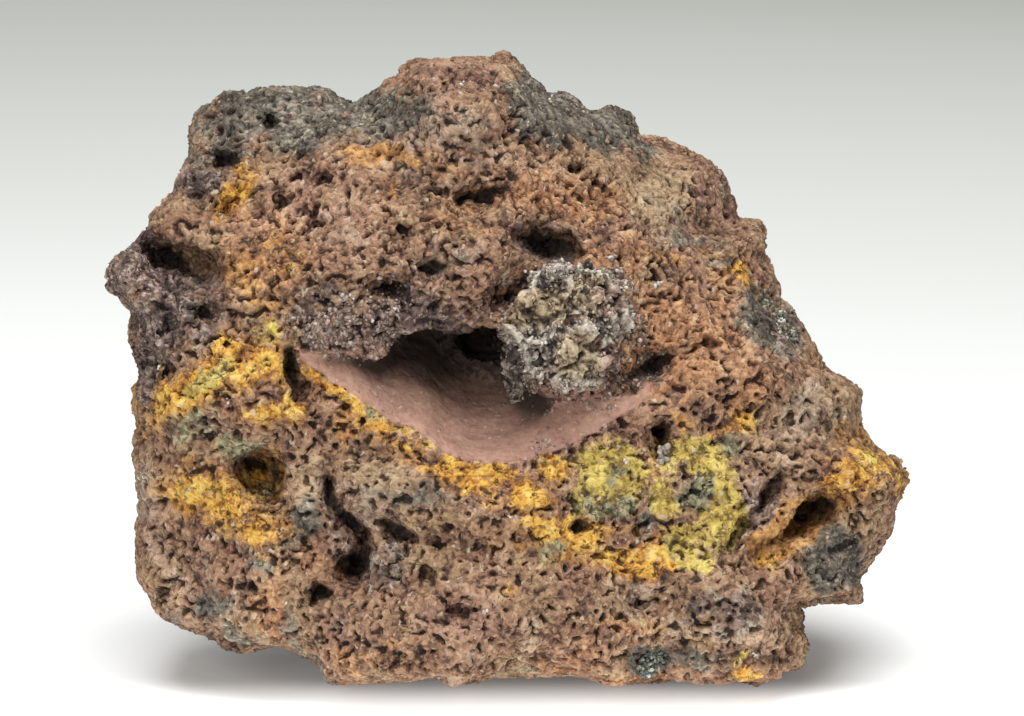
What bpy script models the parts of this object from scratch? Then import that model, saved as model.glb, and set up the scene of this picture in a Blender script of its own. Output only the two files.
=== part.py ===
"""A gossan hand specimen: a block of cellular iron oxide with one deep hollow across its broad face,
smaller vugs and cracks round it, and three crusts of small crystals.

The block is modelled square to its broad face, in millimetres: across (left to right), back (away from
the face) and up. It is then leant back, cut flat under its feet and brought to its size. The finished part
is in metres, +Z up, broad face towards -Y, with its origin under the middle of its box.
"""

import math
import random

import bmesh
import bpy
import numpy as np
from mathutils import Matrix, Vector, noise
from mathutils.bvhtree import BVHTree

MM = 0.001

# Driving dimensions, millimetres and degrees: the box, the lean, and how far the face and the back bulge
WIDTH, DEPTH, HEIGHT = 100.0, 62.0, 75.6
LEAN = 12.0
FRONT_BULGE = 21.5
BACK_BULGE = 24.8
SKIN = 1.0
BOXINESS = 3.0

# The underside: its height below the middle of the face, where the front feet start and the cut under them
UNDERSIDE = -34.9
FRONT_FEET = -12.0
FOOT_CUT = 1.1

# Relief of the skin: (height, size, octaves, shift of the noise), and ledges on all sides but the face
LUMPS = [(1.5, 13.0, 2, 1.7), (0.5, 3.6, 2, 5.0)]
KNOBS = [(0.9, 5.0, 0.3)]
BACK_LUMPS = [(1.3, 16.0, 2, 8.8)]
BACK_KNOBS = [(1.4, 9.0, 2.1)]
KNOB_LEVEL = 0.43
FLOOR_PLAINNESS = 0.85
LEDGE_WAY = (0.35, 0.55, 0.9)
LEDGE_SPACING = 8.5
LEDGE_STEP = 2.4
LEDGE_WAVE = 2.5
BACK_PITS = 70
PIT_SMALLEST, PIT_LARGEST = 1.5, 5.5

# How finely each stage is meshed, and the gap between the rock and its crusts
BLOCK_VOXEL, FACE_VOXEL, FINE_VOXEL, CUTTER_VOXEL = 0.9, 0.8, 0.7, 0.5
ROCK_TRIANGLES = 6800
CUTTER_TRIANGLES = 8000
CRUST_GAP = 0.6
CRUST_LUMPS = 0.3
SKIN_TRIANGLES_PER_CRYSTAL = 9

# The rim of the broad face, anticlockwise from the right: (across, up)
RIM = [
    (42.0, 0.0), (40.5, 0.2), (38.5, 3.0), (36.5, 6.5), (34.5, 8.5), (34.0, 11.0), (32.5, 16.0),
    (31.5, 18.5), (28.0, 20.5), (27.0, 24.0), (25.0, 26.0), (21.5, 27.5), (19.0, 29.0), (16.5, 29.3),
    (16.0, 31.0), (14.5, 32.0), (11.5, 33.0), (7.5, 33.5), (6.0, 35.0), (4.0, 36.0), (1.5, 39.0),
    (0.0, 39.5), (-2.0, 39.0), (-8.0, 38.6), (-11.0, 39.0), (-13.3, 38.0), (-14.0, 36.0), (-17.0, 35.0),
    (-19.0, 34.0), (-21.0, 34.0), (-23.0, 36.7), (-25.0, 36.5), (-26.5, 35.5), (-28.0, 36.0),
    (-29.5, 35.0), (-33.0, 34.0), (-36.5, 33.5), (-39.0, 30.5), (-40.0, 27.0), (-41.0, 24.0),
    (-44.0, 20.0), (-45.0, 16.5), (-46.5, 15.0), (-49.5, 13.5), (-50.0, 10.5), (-46.5, 7.0),
    (-47.0, 4.5), (-45.5, -1.0), (-46.5, -3.5), (-46.3, -15.0), (-46.0, -24.5), (-44.5, -26.5),
    (-42.5, -30.5), (-38.0, -33.3), (-33.5, -35.3), (-29.5, -34.0), (-24.5, -34.4), (-23.0, -37.0),
    (-21.5, -38.7), (-16.5, -39.0), (-13.0, -38.5), (-9.5, -36.7), (-7.5, -38.0), (-6.0, -39.5),
    (-3.0, -37.5), (0.0, -36.0), (6.5, -37.0), (10.5, -38.5), (14.5, -39.0), (19.0, -37.0),
    (24.0, -36.2), (30.5, -35.6), (33.0, -34.0), (35.5, -33.0), (36.3, -30.0), (40.0, -28.8),
    (44.5, -29.0), (45.2, -27.3), (44.2, -25.3), (47.0, -21.5), (49.0, -17.0), (50.0, -14.0),
    (49.0, -11.0), (45.5, -8.5), (44.5, -6.5), (44.2, -2.5),
]

# How far back the rim lies at each angle round the face: (degrees from the right, back)
RIM_SET_BACK = [
    (-17, 1), (0, 3), (20, 7), (45, 9), (62, 7), (75, 6), (88, 2), (105, 0), (120, 5), (135, 7), (150, 3),
    (165, -3), (180, -3), (215, -3), (226, -4), (237, -9), (245, -14), (262, -16), (280, -12), (292, -12),
    (304, -6), (315, -4), (325, -1), (335, 0),
]

# Broad masses of the face: name, (across, up), (half width, half height), turn in degrees, how far out
SWELLS = [
    ("brow", (-9.0, 12.5), (20.0, 10.0), 8, 5.0),
    ("crown", (-5.5, 31.5), (9.5, 9.5), 0, 5.5),
    ("shoulder shelf", (-27.0, 30.0), (17.0, 7.0), 10, -3.5),
    ("left knob", (-47.0, 11.5), (6.5, 5.0), 0, 4.0),
    ("ochre ledge", (-31.0, -3.0), (14.0, 7.0), 8, 3.0),
    ("ochre lump", (-33.0, -15.0), (6.0, 4.5), -25, 2.6),
    ("lip", (-4.0, -15.0), (24.0, 6.0), -4, 4.0),
    ("lower left swell", (-34.0, -25.0), (14.0, 10.0), 0, 2.5),
    ("lower middle swell", (-2.0, -27.0), (16.0, 8.0), 0, 2.0),
    ("lower right swell", (28.0, -26.0), (17.0, 9.0), 12, 3.0),
    ("right nose", (44.0, -12.0), (9.0, 8.0), 0, 4.0),
    ("crystal boss", (8.5, 6.0), (11.0, 10.0), 0, 3.5),
    ("right cheek", (27.0, 4.0), (12.0, 8.0), -35, 2.5),
    ("flank hollow", (24.0, 20.0), (13.0, 10.0), -50, -4.0),
    ("lobe", (41.5, -27.5), (5.5, 3.5), 0, 3.0),
    ("rim knob", (42.0, -3.0), (4.0, 4.5), 0, 3.0),
]

# Flat broken faces: name, (across, up) of a point, how far back it is, slopes back across and up, reach
FACETS = [
    ("grey face", (9.5, 31.5), -7.0, 1.1, 0.9, (10.5, 8.5)),
    ("tan flank", (23.0, 17.0), -11.5, 0.65, 0.30, (10.0, 10.0)),
    ("lower left face", (-38.0, -24.0), -14.5, -0.55, -0.10, (12.0, 12.0)),
]

# Broken faces of the back: a point (across, back, up) on each, and the way it looks
BACK_FACES = [
    ((-14.0, 24.0, 8.0), (-0.35, 1.0, 0.20)),
    ((22.0, 23.0, 6.0), (0.62, 1.0, 0.30)),
    ((2.0, 20.0, 27.0), (0.10, 0.75, 1.0)),
    ((-34.0, 16.0, -6.0), (-1.0, 0.8, -0.15)),
    ((8.0, 24.0, -14.0), (0.15, 1.0, -0.22)),
]

# Heels under the back of the block: (across, back), radius, how far they reach down
HEELS = [((-19.0, 13.0), 10.0, 6.5), ((15.0, 15.0), 10.0, 6.5)]

# Vugs and pits sunk straight into the face: name, (across, up), (half width, half height), turn, depth
VUGS = [
    ("slit by the hollow", (-25.2, 0.3), (1.0, 3.4), 8, 6.0),
    ("slit below it", (-24.0, -2.0), (1.4, 1.6), 0, 5.0),
    ("ochre vug", (-28.6, -12.2), (3.6, 3.0), -25, 8.0),
    ("crack, top", (-20.6, -14.6), (1.0, 2.6), 12, 6.0),
    ("crack, middle", (-18.0, -17.6), (3.2, 1.2), -30, 5.5),
    ("crack, end", (-12.8, -18.6), (2.8, 1.1), -25, 4.0),
    ("crack, drop", (-16.6, -19.8), (1.2, 2.2), 0, 5.0),
    ("black vug", (-17.7, -22.8), (2.5, 2.3), -15, 8.0),
    ("small black vug", (-21.6, -26.0), (1.8, 1.5), 0, 5.5),
    ("brow pit, left", (-13.2, 9.6), (3.3, 1.8), 0, 5.0),
    ("brow pit, middle", (-8.0, 12.2), (2.2, 1.1), 5, 4.0),
    ("brow pit, slot", (-3.0, 20.6), (4.0, 1.1), 12, 4.5),
    ("brow gap", (5.2, 14.4), (4.8, 2.1), -18, 6.0),
    ("brow gap, branch", (2.0, 9.6), (4.5, 1.5), 30, 5.0),
    ("shoulder pit", (-33.6, 24.8), (2.3, 1.8), 25, 4.5),
    ("shoulder slot", (-37.0, 20.6), (1.8, 0.9), 0, 3.5),
    ("streak slot", (-32.8, 19.2), (2.2, 1.0), 35, 3.5),
    ("slanting slit", (16.4, 0.0), (4.4, 1.3), 27, 6.5),
    ("slanting slit, end", (22.6, 2.8), (2.6, 0.8), 20, 3.5),
    ("square slot", (18.2, -8.0), (1.2, 2.2), 0, 6.5),
    ("round hole", (8.6, -18.0), (1.5, 1.3), 0, 4.5),
    ("blue slit", (16.2, -17.8), (0.9, 1.9), -35, 3.5),
    ("long groove, top", (31.2, -14.6), (0.9, 3.4), -38, 3.5),
    ("long groove, foot", (28.0, -19.8), (0.9, 2.6), -42, 3.0),
    ("yellow pit", (23.0, -21.2), (1.6, 1.0), 0, 3.0),
    ("flank vug", (33.2, 6.2), (2.9, 5.4), 35, 3.2),
    ("oval vug", (16.7, -33.6), (3.2, 2.0), 0, 3.8),
    ("round pit", (-9.4, -24.3), (1.5, 1.1), 20, 3.0),
    ("foot notch", (-8.2, -36.2), (1.7, 1.3), 20, 5.0),
    ("left vug", (-35.3, 6.8), (1.9, 1.2), -15, 4.5),
    ("left vug, lower", (-39.4, 5.4), (1.4, 1.7), 0, 4.5),
    ("left vug, third", (-41.6, 1.2), (2.0, 1.0), 15, 4.0),
    ("top gap", (-20.0, 33.2), (2.6, 0.9), 0, 4.0),
    ("red pit", (-5.6, -28.0), (3.0, 1.1), 8, 3.0),
    ("under ledge", (16.2, -27.0), (2.4, 1.2), -10, 2.5),
    ("lobe hole", (40.4, -27.2), (2.2, 1.0), 15, 4.0),
]

# Hollows that run in under their edges, cut with a rounded cutter: name, (across, up), how far behind the
# face its middle lies, (half width, half depth, half height above, half height below), turn, slope down
HOLLOWS = [
    ("main hollow", (-4.8, 0.6), 2.0, (21.5, 14.5, 4.2, 11.6), -7, 16),
    ("left hollow", (-39.0, 12.2), 1.0, (5.2, 9.0, 3.2, 2.6), -28, 8),
    ("orange hollow", (36.0, -17.6), 1.0, (5.2, 7.5, 2.2, 2.4), 32, 10),
]

# A rounded boss left standing in the right end of the main hollow, in the same terms
BOSS = ("crystal boss", (8.2, 4.6), 7.6, (6.6, 7.0, 7.4, 7.6), -18, 0)

# Crusts of crystals: name, (across, up), how far behind the face the middle lies,
# (half width, half thickness, half height), turn, number of crystals, their radii, seed
CRUSTS = [
    ("druse_crust", (8.0, 4.4), 0.6, (7.8, 2.8, 8.6), -18, 40, (0.65, 1.35), 5),
    ("flank_vug_crust", (33.2, 5.8), 0.0, (3.2, 2.0, 5.0), 35, 16, (0.45, 0.8), 8),
    ("oval_vug_crust", (16.7, -33.6), -0.2, (3.0, 2.0, 1.9), 0, 11, (0.35, 0.65), 13),
]

# Each object's material: name, colour and roughness
FINISHES = {
    "gossan_rock": ("iron_oxide", (0.24, 0.13, 0.085), 0.9),
    "druse_crust": ("pale_druse", (0.42, 0.40, 0.38), 0.45),
    "flank_vug_crust": ("green_grey_crystals", (0.13, 0.16, 0.14), 0.5),
    "oval_vug_crust": ("dark_crystals", (0.07, 0.10, 0.09), 0.5),
}


def clear_scene():
    for obj in list(bpy.data.objects):
        bpy.data.objects.remove(obj)


def collection(name):
    made = bpy.data.collections.new(name)
    bpy.context.scene.collection.children.link(made)
    return made


def put_in(obj, group):
    for old in list(obj.users_collection):
        old.objects.unlink(obj)
    group.objects.link(obj)


def points_of(mesh):
    flat = np.empty(len(mesh.vertices) * 3)
    mesh.vertices.foreach_get("co", flat)
    return flat.reshape(-1, 3)


def set_points(mesh, points):
    mesh.vertices.foreach_set("co", np.asarray(points, np.float64).ravel())
    mesh.update()


def normals_of(mesh):
    flat = np.empty(len(mesh.vertices) * 3)
    mesh.vertices.foreach_get("normal", flat)
    return flat.reshape(-1, 3)


def settle_modifiers(obj):
    """Puts the evaluated mesh in place of the object's mesh and drops its modifiers."""
    graph = bpy.context.evaluated_depsgraph_get()
    made = bpy.data.meshes.new_from_object(obj.evaluated_get(graph))
    obj.modifiers.clear()
    obj.data = made


def remesh(obj, voxel):
    modifier = obj.modifiers.new("even skin", "REMESH")
    modifier.mode = "VOXEL"
    modifier.voxel_size = voxel * MM
    settle_modifiers(obj)


def lumps(points, size, octaves=1, offset=0.0):
    """Smooth noise from about -1 to 1 at each point, its lumps of that size in millimetres."""
    shift = Vector((offset, offset * 0.7, -offset))
    return np.array([noise.fractal(Vector(p) / (size * MM) + shift, 1.0, 2.0, octaves) for p in points])


def knobs(points, size, offset=0.0):
    """Rounded knobs with creases between them, from 0 in a crease to 1 on a knob."""
    shift = Vector((offset, -offset, offset * 0.4))
    nearest = [noise.voronoi(Vector(p) / (size * MM) + shift)[0] for p in points]
    return np.array([1.0 - min(1.0, d[0] * 1.3) for d in nearest])


def in_ellipse(points, centre, half, turn):
    """Distance from the centre as a share of the ellipse's edge, seen square to the face."""
    angle = math.radians(turn)
    across = points[:, 0] - centre[0] * MM
    up = points[:, 2] - centre[1] * MM
    along = across * math.cos(angle) + up * math.sin(angle)
    over = -across * math.sin(angle) + up * math.cos(angle)
    return np.hypot(along / (half[0] * MM), over / (half[1] * MM))


def rim_radius(angles):
    """Distance from the middle of the face to its rim at each angle, in metres."""
    at = [(math.atan2(up, across), math.hypot(across, up)) for across, up in RIM]
    at.sort()
    found, radii = zip(*at)
    return (np.interp(angles, found, radii, period=2 * math.pi) - SKIN) * MM


def rim_set_back(angles):
    degrees, back = zip(*RIM_SET_BACK)
    return np.interp(angles, np.radians(degrees), back, period=2 * math.pi) * MM


def block():
    """The whole block as a rounded box of the rim's outline, with a uniform skin."""
    bpy.ops.mesh.primitive_ico_sphere_add(subdivisions=7, radius=1.0)
    obj = bpy.context.object
    obj.name = "gossan_rock"
    ball = points_of(obj.data)
    share = np.clip(np.hypot(ball[:, 0], ball[:, 2]), 0.0, 1.0)
    angle = np.arctan2(ball[:, 2], ball[:, 0])
    out = rim_radius(angle) * share
    bulge = (1.0 - share**BOXINESS) ** (1.0 / BOXINESS)
    reach = np.where(ball[:, 1] < 0.0, -FRONT_BULGE, BACK_BULGE) * MM
    back = rim_set_back(angle) * share**2 + reach * bulge
    set_points(obj.data, np.stack([out * np.cos(angle), back, out * np.sin(angle)], axis=1))
    remesh(obj, BLOCK_VOXEL)
    return obj


def front_share(normals):
    """1 where the skin looks out of the broad face, 0 where it looks sideways or back."""
    return np.clip((-normals[:, 1] - 0.05) / 0.4, 0.0, 1.0)


def shape_masses(obj):
    """Raises and lowers the broad masses of the face, then breaks its flat faces."""
    points, front = points_of(obj.data), front_share(normals_of(obj.data))
    for _name, centre, half, turn, height in SWELLS:
        inside = np.clip(1.0 - in_ellipse(points, centre, half, turn) ** 2, 0.0, 1.0) ** 1.5
        points[:, 1] -= front * inside * height * MM
    for _name, centre, depth, over, rise, reach in FACETS:
        plane = depth * MM + over * (points[:, 0] - centre[0] * MM) + rise * (points[:, 2] - centre[1] * MM)
        held = np.clip(3.0 - 3.0 * in_ellipse(points, centre, reach, 0), 0.0, 1.0) * (front > 0.0)
        points[:, 1] += held * np.maximum(plane - points[:, 1], 0.0)
    set_points(obj.data, points)


def break_back(obj):
    """Flattens the back of the block into a few broken faces."""
    points = points_of(obj.data)
    for spot, way in BACK_FACES:
        way = Vector(way).normalized()
        beyond = (points - np.array(spot) * MM) @ np.array(way)
        points -= np.outer(np.maximum(beyond, 0.0) * 0.85, way)
    set_points(obj.data, points)


def grow_heels(obj):
    """Thickens the underside at the back, where the block rests."""
    points = points_of(obj.data)
    below = points[:, 2] < FRONT_FEET * MM
    for (across, back), radius, drop in HEELS:
        away = np.hypot(points[:, 0] - across * MM, points[:, 1] - back * MM) / (radius * MM)
        points[:, 2] -= np.clip(1.0 - away**2, 0.0, 1.0) * below * drop * MM
    set_points(obj.data, points)


def flatten_underside(obj):
    """Brings the underside nearly level, so that the block stands on feet at the front and the back."""
    points = points_of(obj.data)
    lean = math.radians(LEAN)
    height = points[:, 2] * math.cos(lean) - points[:, 1] * math.sin(lean)
    raised = np.maximum(UNDERSIDE * MM - height, 0.0) * 0.9
    points[:, 2] += raised * math.cos(lean) * (points[:, 1] > FRONT_FEET * MM)
    set_points(obj.data, points)


def break_ledges(obj):
    """Steps the top, the sides and the back along tilted layers."""
    points, normals = points_of(obj.data), normals_of(obj.data)
    along = points @ np.array(Vector(LEDGE_WAY).normalized()) + LEDGE_WAVE * MM * lumps(points, 15.0, 1, 4.0)
    layer = (along / (LEDGE_SPACING * MM)) % 1.0
    step = (np.minimum(layer, (1.0 - layer) * 5.0) - 0.4) * LEDGE_STEP * MM
    aside = 1.0 - front_share(normals)
    set_points(obj.data, points + normals * (step * aside)[:, None])


def sink_vugs(obj):
    points, front = points_of(obj.data), front_share(normals_of(obj.data))
    ragged = 1.0 + 0.30 * lumps(points, 2.6, 2, 3.1)
    for _name, centre, half, turn, depth in VUGS:
        inside = np.clip(1.0 - (in_ellipse(points, centre, half, turn) * ragged) ** 3, 0.0, 1.0)
        points[:, 1] += front * inside * depth * MM
    set_points(obj.data, points)


def sink_back_pits(obj, seed=11):
    """Cellular pits over the top, the sides and the back, where nothing is placed by hand."""
    chance = random.Random(seed)
    points, normals = points_of(obj.data), normals_of(obj.data)
    away = np.flatnonzero(normals[:, 1] > -0.15)
    for _pit in range(BACK_PITS):
        spot = chance.choice(away)
        size = (PIT_SMALLEST + (PIT_LARGEST - PIT_SMALLEST) * chance.random() ** 2) * MM
        near = np.linalg.norm((points - points[spot]) * (1.0, 1.0, chance.uniform(1.0, 1.9)), axis=1) / size
        inside = np.clip(1.0 - near**2.5, 0.0, 1.0)
        points -= np.outer(inside * size * chance.uniform(0.5, 0.95), normals[spot])
    set_points(obj.data, points)


def cutter(obj, spec, group):
    """A rounded cutter of one hollow, set where the face is, with a roof flatter than its floor."""
    name, centre, behind, (wide, deep, above, below), turn, slope = spec
    bpy.ops.mesh.primitive_ico_sphere_add(subdivisions=4, radius=1.0)
    tool = bpy.context.object
    tool.name = name.replace(" ", "_") + "_cutter"
    ball = points_of(tool.data)
    rough = 1.0 + 0.05 * np.array([noise.noise(Vector(p) * 2.3) for p in ball])
    high = np.where(ball[:, 2] > 0.0, above, below)
    size = np.stack([np.full(len(ball), wide), np.full(len(ball), deep), high], axis=1) * MM
    set_points(tool.data, ball * size * rough[:, None])
    tool.rotation_euler = (math.radians(slope), -math.radians(turn), 0.0)
    depth, _way = face_at(obj, *centre)
    tool.location = (centre[0] * MM, depth + behind * MM, centre[1] * MM)
    tool.hide_render = True
    tool.display_type = "WIRE"
    put_in(tool, group)
    return tool


def face_at(obj, across, up, patch=0.0):
    """How far back the broad face lies at this place, and the way it looks over a patch round it."""
    tree = BVHTree.FromObject(obj, bpy.context.evaluated_depsgraph_get())
    start, back = Vector((across, -200.0, up)) * MM, Vector((0, 1, 0))
    middle, way, _index, _distance = tree.ray_cast(start, back)
    for turn in range(8):
        side = Vector((math.cos(turn * math.pi / 4), 0.0, math.sin(turn * math.pi / 4))) * patch * MM
        hit, normal, _index, _distance = tree.ray_cast(start + side, back)
        way = way + normal if hit else way
    return middle.y, way.normalized()


def cut_hollows(obj, group):
    bpy.context.view_layer.update()
    tools = [cutter(obj, spec, group) for spec in HOLLOWS] + [cutter(obj, BOSS, group)]
    for tool in tools:
        modifier = obj.modifiers.new(tool.name, "BOOLEAN")
        modifier.operation = "UNION" if tool is tools[-1] else "DIFFERENCE"
        modifier.object = tool
    settle_modifiers(obj)


def roughen(obj):
    """Gives the skin its lumps and knobs, and leaves the smooth floor of the main hollow nearly plain."""
    points, normals = points_of(obj.data), normals_of(obj.data)
    _name, centre, _behind, (wide, _deep, _above, below), turn, _slope = HOLLOWS[0]
    floor = in_ellipse(points, (centre[0], centre[1] - 4.0), (wide, below - 2.5), turn)
    plain = 1.0 - FLOOR_PLAINNESS * np.clip(3.0 - 3.0 * floor, 0.0, 1.0) * (normals[:, 2] > -0.1)
    aside = 1.0 - front_share(normals)
    rise = sum(height * lumps(points, *noise_of) for height, *noise_of in LUMPS)
    rise += sum(height * (knobs(points, *noise_of) - KNOB_LEVEL) for height, *noise_of in KNOBS)
    rise += aside * sum(height * lumps(points, *noise_of) for height, *noise_of in BACK_LUMPS)
    rise += aside * sum(height * (knobs(points, *noise_of) - KNOB_LEVEL) for height, *noise_of in BACK_KNOBS)
    set_points(obj.data, points + normals * (rise * plain * MM)[:, None])


def copy_of(obj, name, group):
    made = bpy.data.objects.new(name, obj.data.copy())
    group.objects.link(made)
    made.hide_render = True
    made.display_type = "WIRE"
    return made


def swollen_copy(obj, group):
    """The rock grown by the gap that its crusts keep to it, as their cutter."""
    made = copy_of(obj, "rock_cutter", group)
    set_points(made.data, points_of(made.data) + normals_of(made.data) * CRUST_GAP * MM)
    remesh(made, CUTTER_VOXEL)
    thin_out(made, CUTTER_TRIANGLES)
    return made


def crystal(work, spot, way, radius, chance):
    """One six-sided crystal with a pointed end, standing on a spot."""
    length = radius * chance.uniform(1.6, 2.6)
    place = Matrix.Translation(spot) @ way.to_track_quat("Z", "Y").to_matrix().to_4x4()
    place = place @ Matrix.Rotation(chance.uniform(0.0, math.pi), 4, "Z")
    made = bmesh.ops.create_cone(
        work, segments=6, radius1=radius, radius2=radius, depth=length, cap_ends=True, matrix=place
    )
    faces = {face for vert in made["verts"] for face in vert.link_faces}
    top = max(faces, key=lambda face: (face.calc_center_median() - spot).dot(way))
    tip = bmesh.ops.poke(work, faces=[top])["verts"][0]
    tip.co += way * radius * chance.uniform(0.6, 1.0)


def crust_skin(name, middle, way, half, turn, seed):
    """A lumpy cushion over one spot of the rock, laid square to the way the rock looks there."""
    bpy.ops.mesh.primitive_ico_sphere_add(subdivisions=4, radius=1.0)
    obj = bpy.context.object
    obj.name = name
    ball = points_of(obj.data)
    shift = Vector((seed, 0.0, 0.0))
    swell = np.array([noise.noise(Vector(p) * 1.6 + shift) for p in ball])
    bead = np.array([noise.voronoi(Vector(p) * 2.0 + shift)[0][0] for p in ball])
    lumpy = 1.0 + CRUST_LUMPS * swell + CRUST_LUMPS * (0.4 - bead)
    facing = Vector((0, -1, 0)).rotation_difference(way).to_matrix().to_4x4()
    around = Matrix.Translation(middle) @ facing @ Matrix.Rotation(-math.radians(turn), 4, "Y")
    shape = ball * lumpy[:, None] * np.array(half) * MM
    set_points(obj.data, [around @ Vector(p) for p in shape])
    return obj


def crystal_cluster(obj, way, count, radii, chance, group):
    """Crystals standing on the outer side of a crust, as one object to join to it."""
    work = bmesh.new()
    toward = [face for face in obj.data.polygons if face.normal.dot(way) > 0.0]
    for face in chance.sample(toward, count):
        lean = face.normal + Vector([chance.uniform(-0.45, 0.45) for _axis in range(3)])
        radius = chance.uniform(*radii) * MM
        crystal(work, face.center - face.normal * radius * 0.6, lean.normalized(), radius, chance)
    mesh = bpy.data.meshes.new(obj.name + "_crystals")
    work.to_mesh(mesh)
    work.free()
    cluster = bpy.data.objects.new(mesh.name, mesh)
    cluster.hide_render = True
    cluster.display_type = "WIRE"
    group.objects.link(cluster)
    return cluster


def crust(rock, cutter_rock, spec, part, group):
    """A lumpy skin over one spot of the rock with crystals standing on it, hollowed to the rock behind."""
    name, centre, behind, half, turn, count, radii, seed = spec
    chance = random.Random(seed)
    depth, way = face_at(rock, *centre, patch=min(half[0], half[2]))
    middle = Vector((centre[0] * MM, depth + behind * MM, centre[1] * MM))
    obj = crust_skin(name, middle, way, half, turn, seed)
    put_in(obj, part)
    thin_out(obj, SKIN_TRIANGLES_PER_CRYSTAL * count)
    joined = obj.modifiers.new("crystals", "BOOLEAN")
    joined.operation = "UNION"
    joined.object = crystal_cluster(obj, way, count, radii, chance, group)
    joined.use_self = True
    fitted = obj.modifiers.new("fitted to the rock", "BOOLEAN")
    fitted.operation = "DIFFERENCE"
    fitted.object = cutter_rock
    settle_modifiers(obj)
    largest_body(obj.data)
    return obj


def thin_out(obj, triangles):
    modifier = obj.modifiers.new("fewer faces", "DECIMATE")
    graph = bpy.context.evaluated_depsgraph_get()
    mesh = obj.evaluated_get(graph).to_mesh()
    mesh.calc_loop_triangles()
    modifier.ratio = triangles / len(mesh.loop_triangles)
    settle_modifiers(obj)


def largest_body(mesh):
    """Deletes all but the largest connected piece of a mesh."""
    work = bmesh.new()
    work.from_mesh(mesh)
    left, bodies = set(work.verts), []
    while left:
        body, edge = set(), {left.pop()}
        while edge:
            body |= edge
            edge = {e.other_vert(v) for v in edge for e in v.link_edges} - body
        left -= body
        bodies.append(body)
    biggest = max(bodies, key=len)
    bmesh.ops.delete(work, geom=[v for v in work.verts if v not in biggest], context="VERTS")
    work.to_mesh(mesh)
    work.free()


def stand_up(rock, crusts):
    """Leans everything back and brings the rock's box, above the cut under its feet, to its dimensions."""
    for obj in [rock] + crusts:
        obj.data.transform(Matrix.Rotation(-math.radians(LEAN), 4, "X"))
    points = points_of(rock.data)
    low, high = points.min(axis=0), points.max(axis=0)
    low[2] += FOOT_CUT * MM
    size = np.array([WIDTH, DEPTH, HEIGHT]) * MM
    origin = np.array([(low[0] + high[0]) / 2, (low[1] + high[1]) / 2, low[2]])
    fitted = Matrix.Diagonal(Vector(size / (high - low))).to_4x4() @ Matrix.Translation(-Vector(origin))
    for obj in [rock] + crusts:
        obj.data.transform(fitted)
    cut_feet(rock)


def cut_feet(obj):
    """Cuts the feet flat at the height they stand on."""
    work = bmesh.new()
    work.from_mesh(obj.data)
    cut = bmesh.ops.bisect_plane(
        work, geom=work.verts[:] + work.edges[:] + work.faces[:], dist=1e-7, plane_co=(0, 0, 0),
        plane_no=(0, 0, -1), clear_outer=True,
    )
    rims = [g for g in cut["geom_cut"] if isinstance(g, bmesh.types.BMEdge)]
    bmesh.ops.triangle_fill(work, edges=rims, use_beauty=True, normal=(0, 0, -1))
    bmesh.ops.recalc_face_normals(work, faces=work.faces)
    work.to_mesh(obj.data)
    work.free()


def material(name, colour, roughness):
    made = bpy.data.materials.new(name)
    made.use_nodes = True
    shader = made.node_tree.nodes["Principled BSDF"]
    shader.inputs["Base Color"].default_value = (*colour, 1.0)
    shader.inputs["Roughness"].default_value = roughness
    return made


def main():
    clear_scene()
    part = collection("gossan")
    tools = collection("cutters")
    rock = block()
    put_in(rock, part)
    shape_masses(rock)
    break_back(rock)
    grow_heels(rock)
    flatten_underside(rock)
    remesh(rock, FACE_VOXEL)
    break_ledges(rock)
    sink_vugs(rock)
    sink_back_pits(rock)
    cut_hollows(rock, tools)
    remesh(rock, FINE_VOXEL)
    roughen(rock)
    remesh(rock, FINE_VOXEL)
    largest_body(rock.data)
    thin_out(rock, ROCK_TRIANGLES)
    bpy.context.view_layer.update()
    cutter_rock = swollen_copy(rock, tools)
    crusts = [crust(rock, cutter_rock, spec, part, tools) for spec in CRUSTS]
    stand_up(rock, crusts)
    for obj in [rock] + crusts:
        obj.data.materials.clear()
        obj.data.materials.append(material(*FINISHES[obj.name]))


main()
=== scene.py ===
# Looks of a gossan hand specimen: cellular iron oxide with ochre and yellow crusts, a deep smooth-floored
# hollow, and crystals in its vugs. The stone is worked over from its CAD solid: its hollows are opened up
# sharper, its skin is pitted and grained, and its minerals are laid out in zones across the broad face.
#
# Places on the broad face are in millimetres as (across, up) from the middle of its outline, looking
# straight at it: the stone leans back, so that way of looking is LEAN degrees above the level.

import math

import bmesh
import bpy
import numpy as np
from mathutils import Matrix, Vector
from mathutils.bvhtree import BVHTree


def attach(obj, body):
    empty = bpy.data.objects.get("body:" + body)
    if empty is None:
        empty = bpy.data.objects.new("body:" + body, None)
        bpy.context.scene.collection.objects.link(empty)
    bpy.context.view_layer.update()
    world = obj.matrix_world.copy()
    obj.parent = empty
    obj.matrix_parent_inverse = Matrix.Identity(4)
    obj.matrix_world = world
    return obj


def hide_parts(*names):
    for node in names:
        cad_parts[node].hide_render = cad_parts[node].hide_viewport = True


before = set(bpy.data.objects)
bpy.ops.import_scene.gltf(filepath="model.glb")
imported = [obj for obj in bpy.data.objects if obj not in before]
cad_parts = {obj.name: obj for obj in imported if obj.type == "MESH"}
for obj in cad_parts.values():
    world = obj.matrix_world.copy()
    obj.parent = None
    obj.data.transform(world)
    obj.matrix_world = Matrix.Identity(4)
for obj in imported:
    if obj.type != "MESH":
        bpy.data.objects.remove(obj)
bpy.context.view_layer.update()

MM = 0.001
LEAN = math.radians(12)
LEAN_COS, LEAN_SIN = math.cos(LEAN), math.sin(LEAN)

# How finely the stone is meshed at each stage, how many rounds even it out there and on the hollow's floor,
# and how many triangles the face and the rest of it keep
FIRST_VOXEL, SECOND_VOXEL = 0.45, 0.25
FACET_ROUNDS, SECOND_ROUNDS, FLOOR_ROUNDS = 8, 3, 14
BACK_TRIANGLES, FACE_TRIANGLES = 70000, 376000
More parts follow.
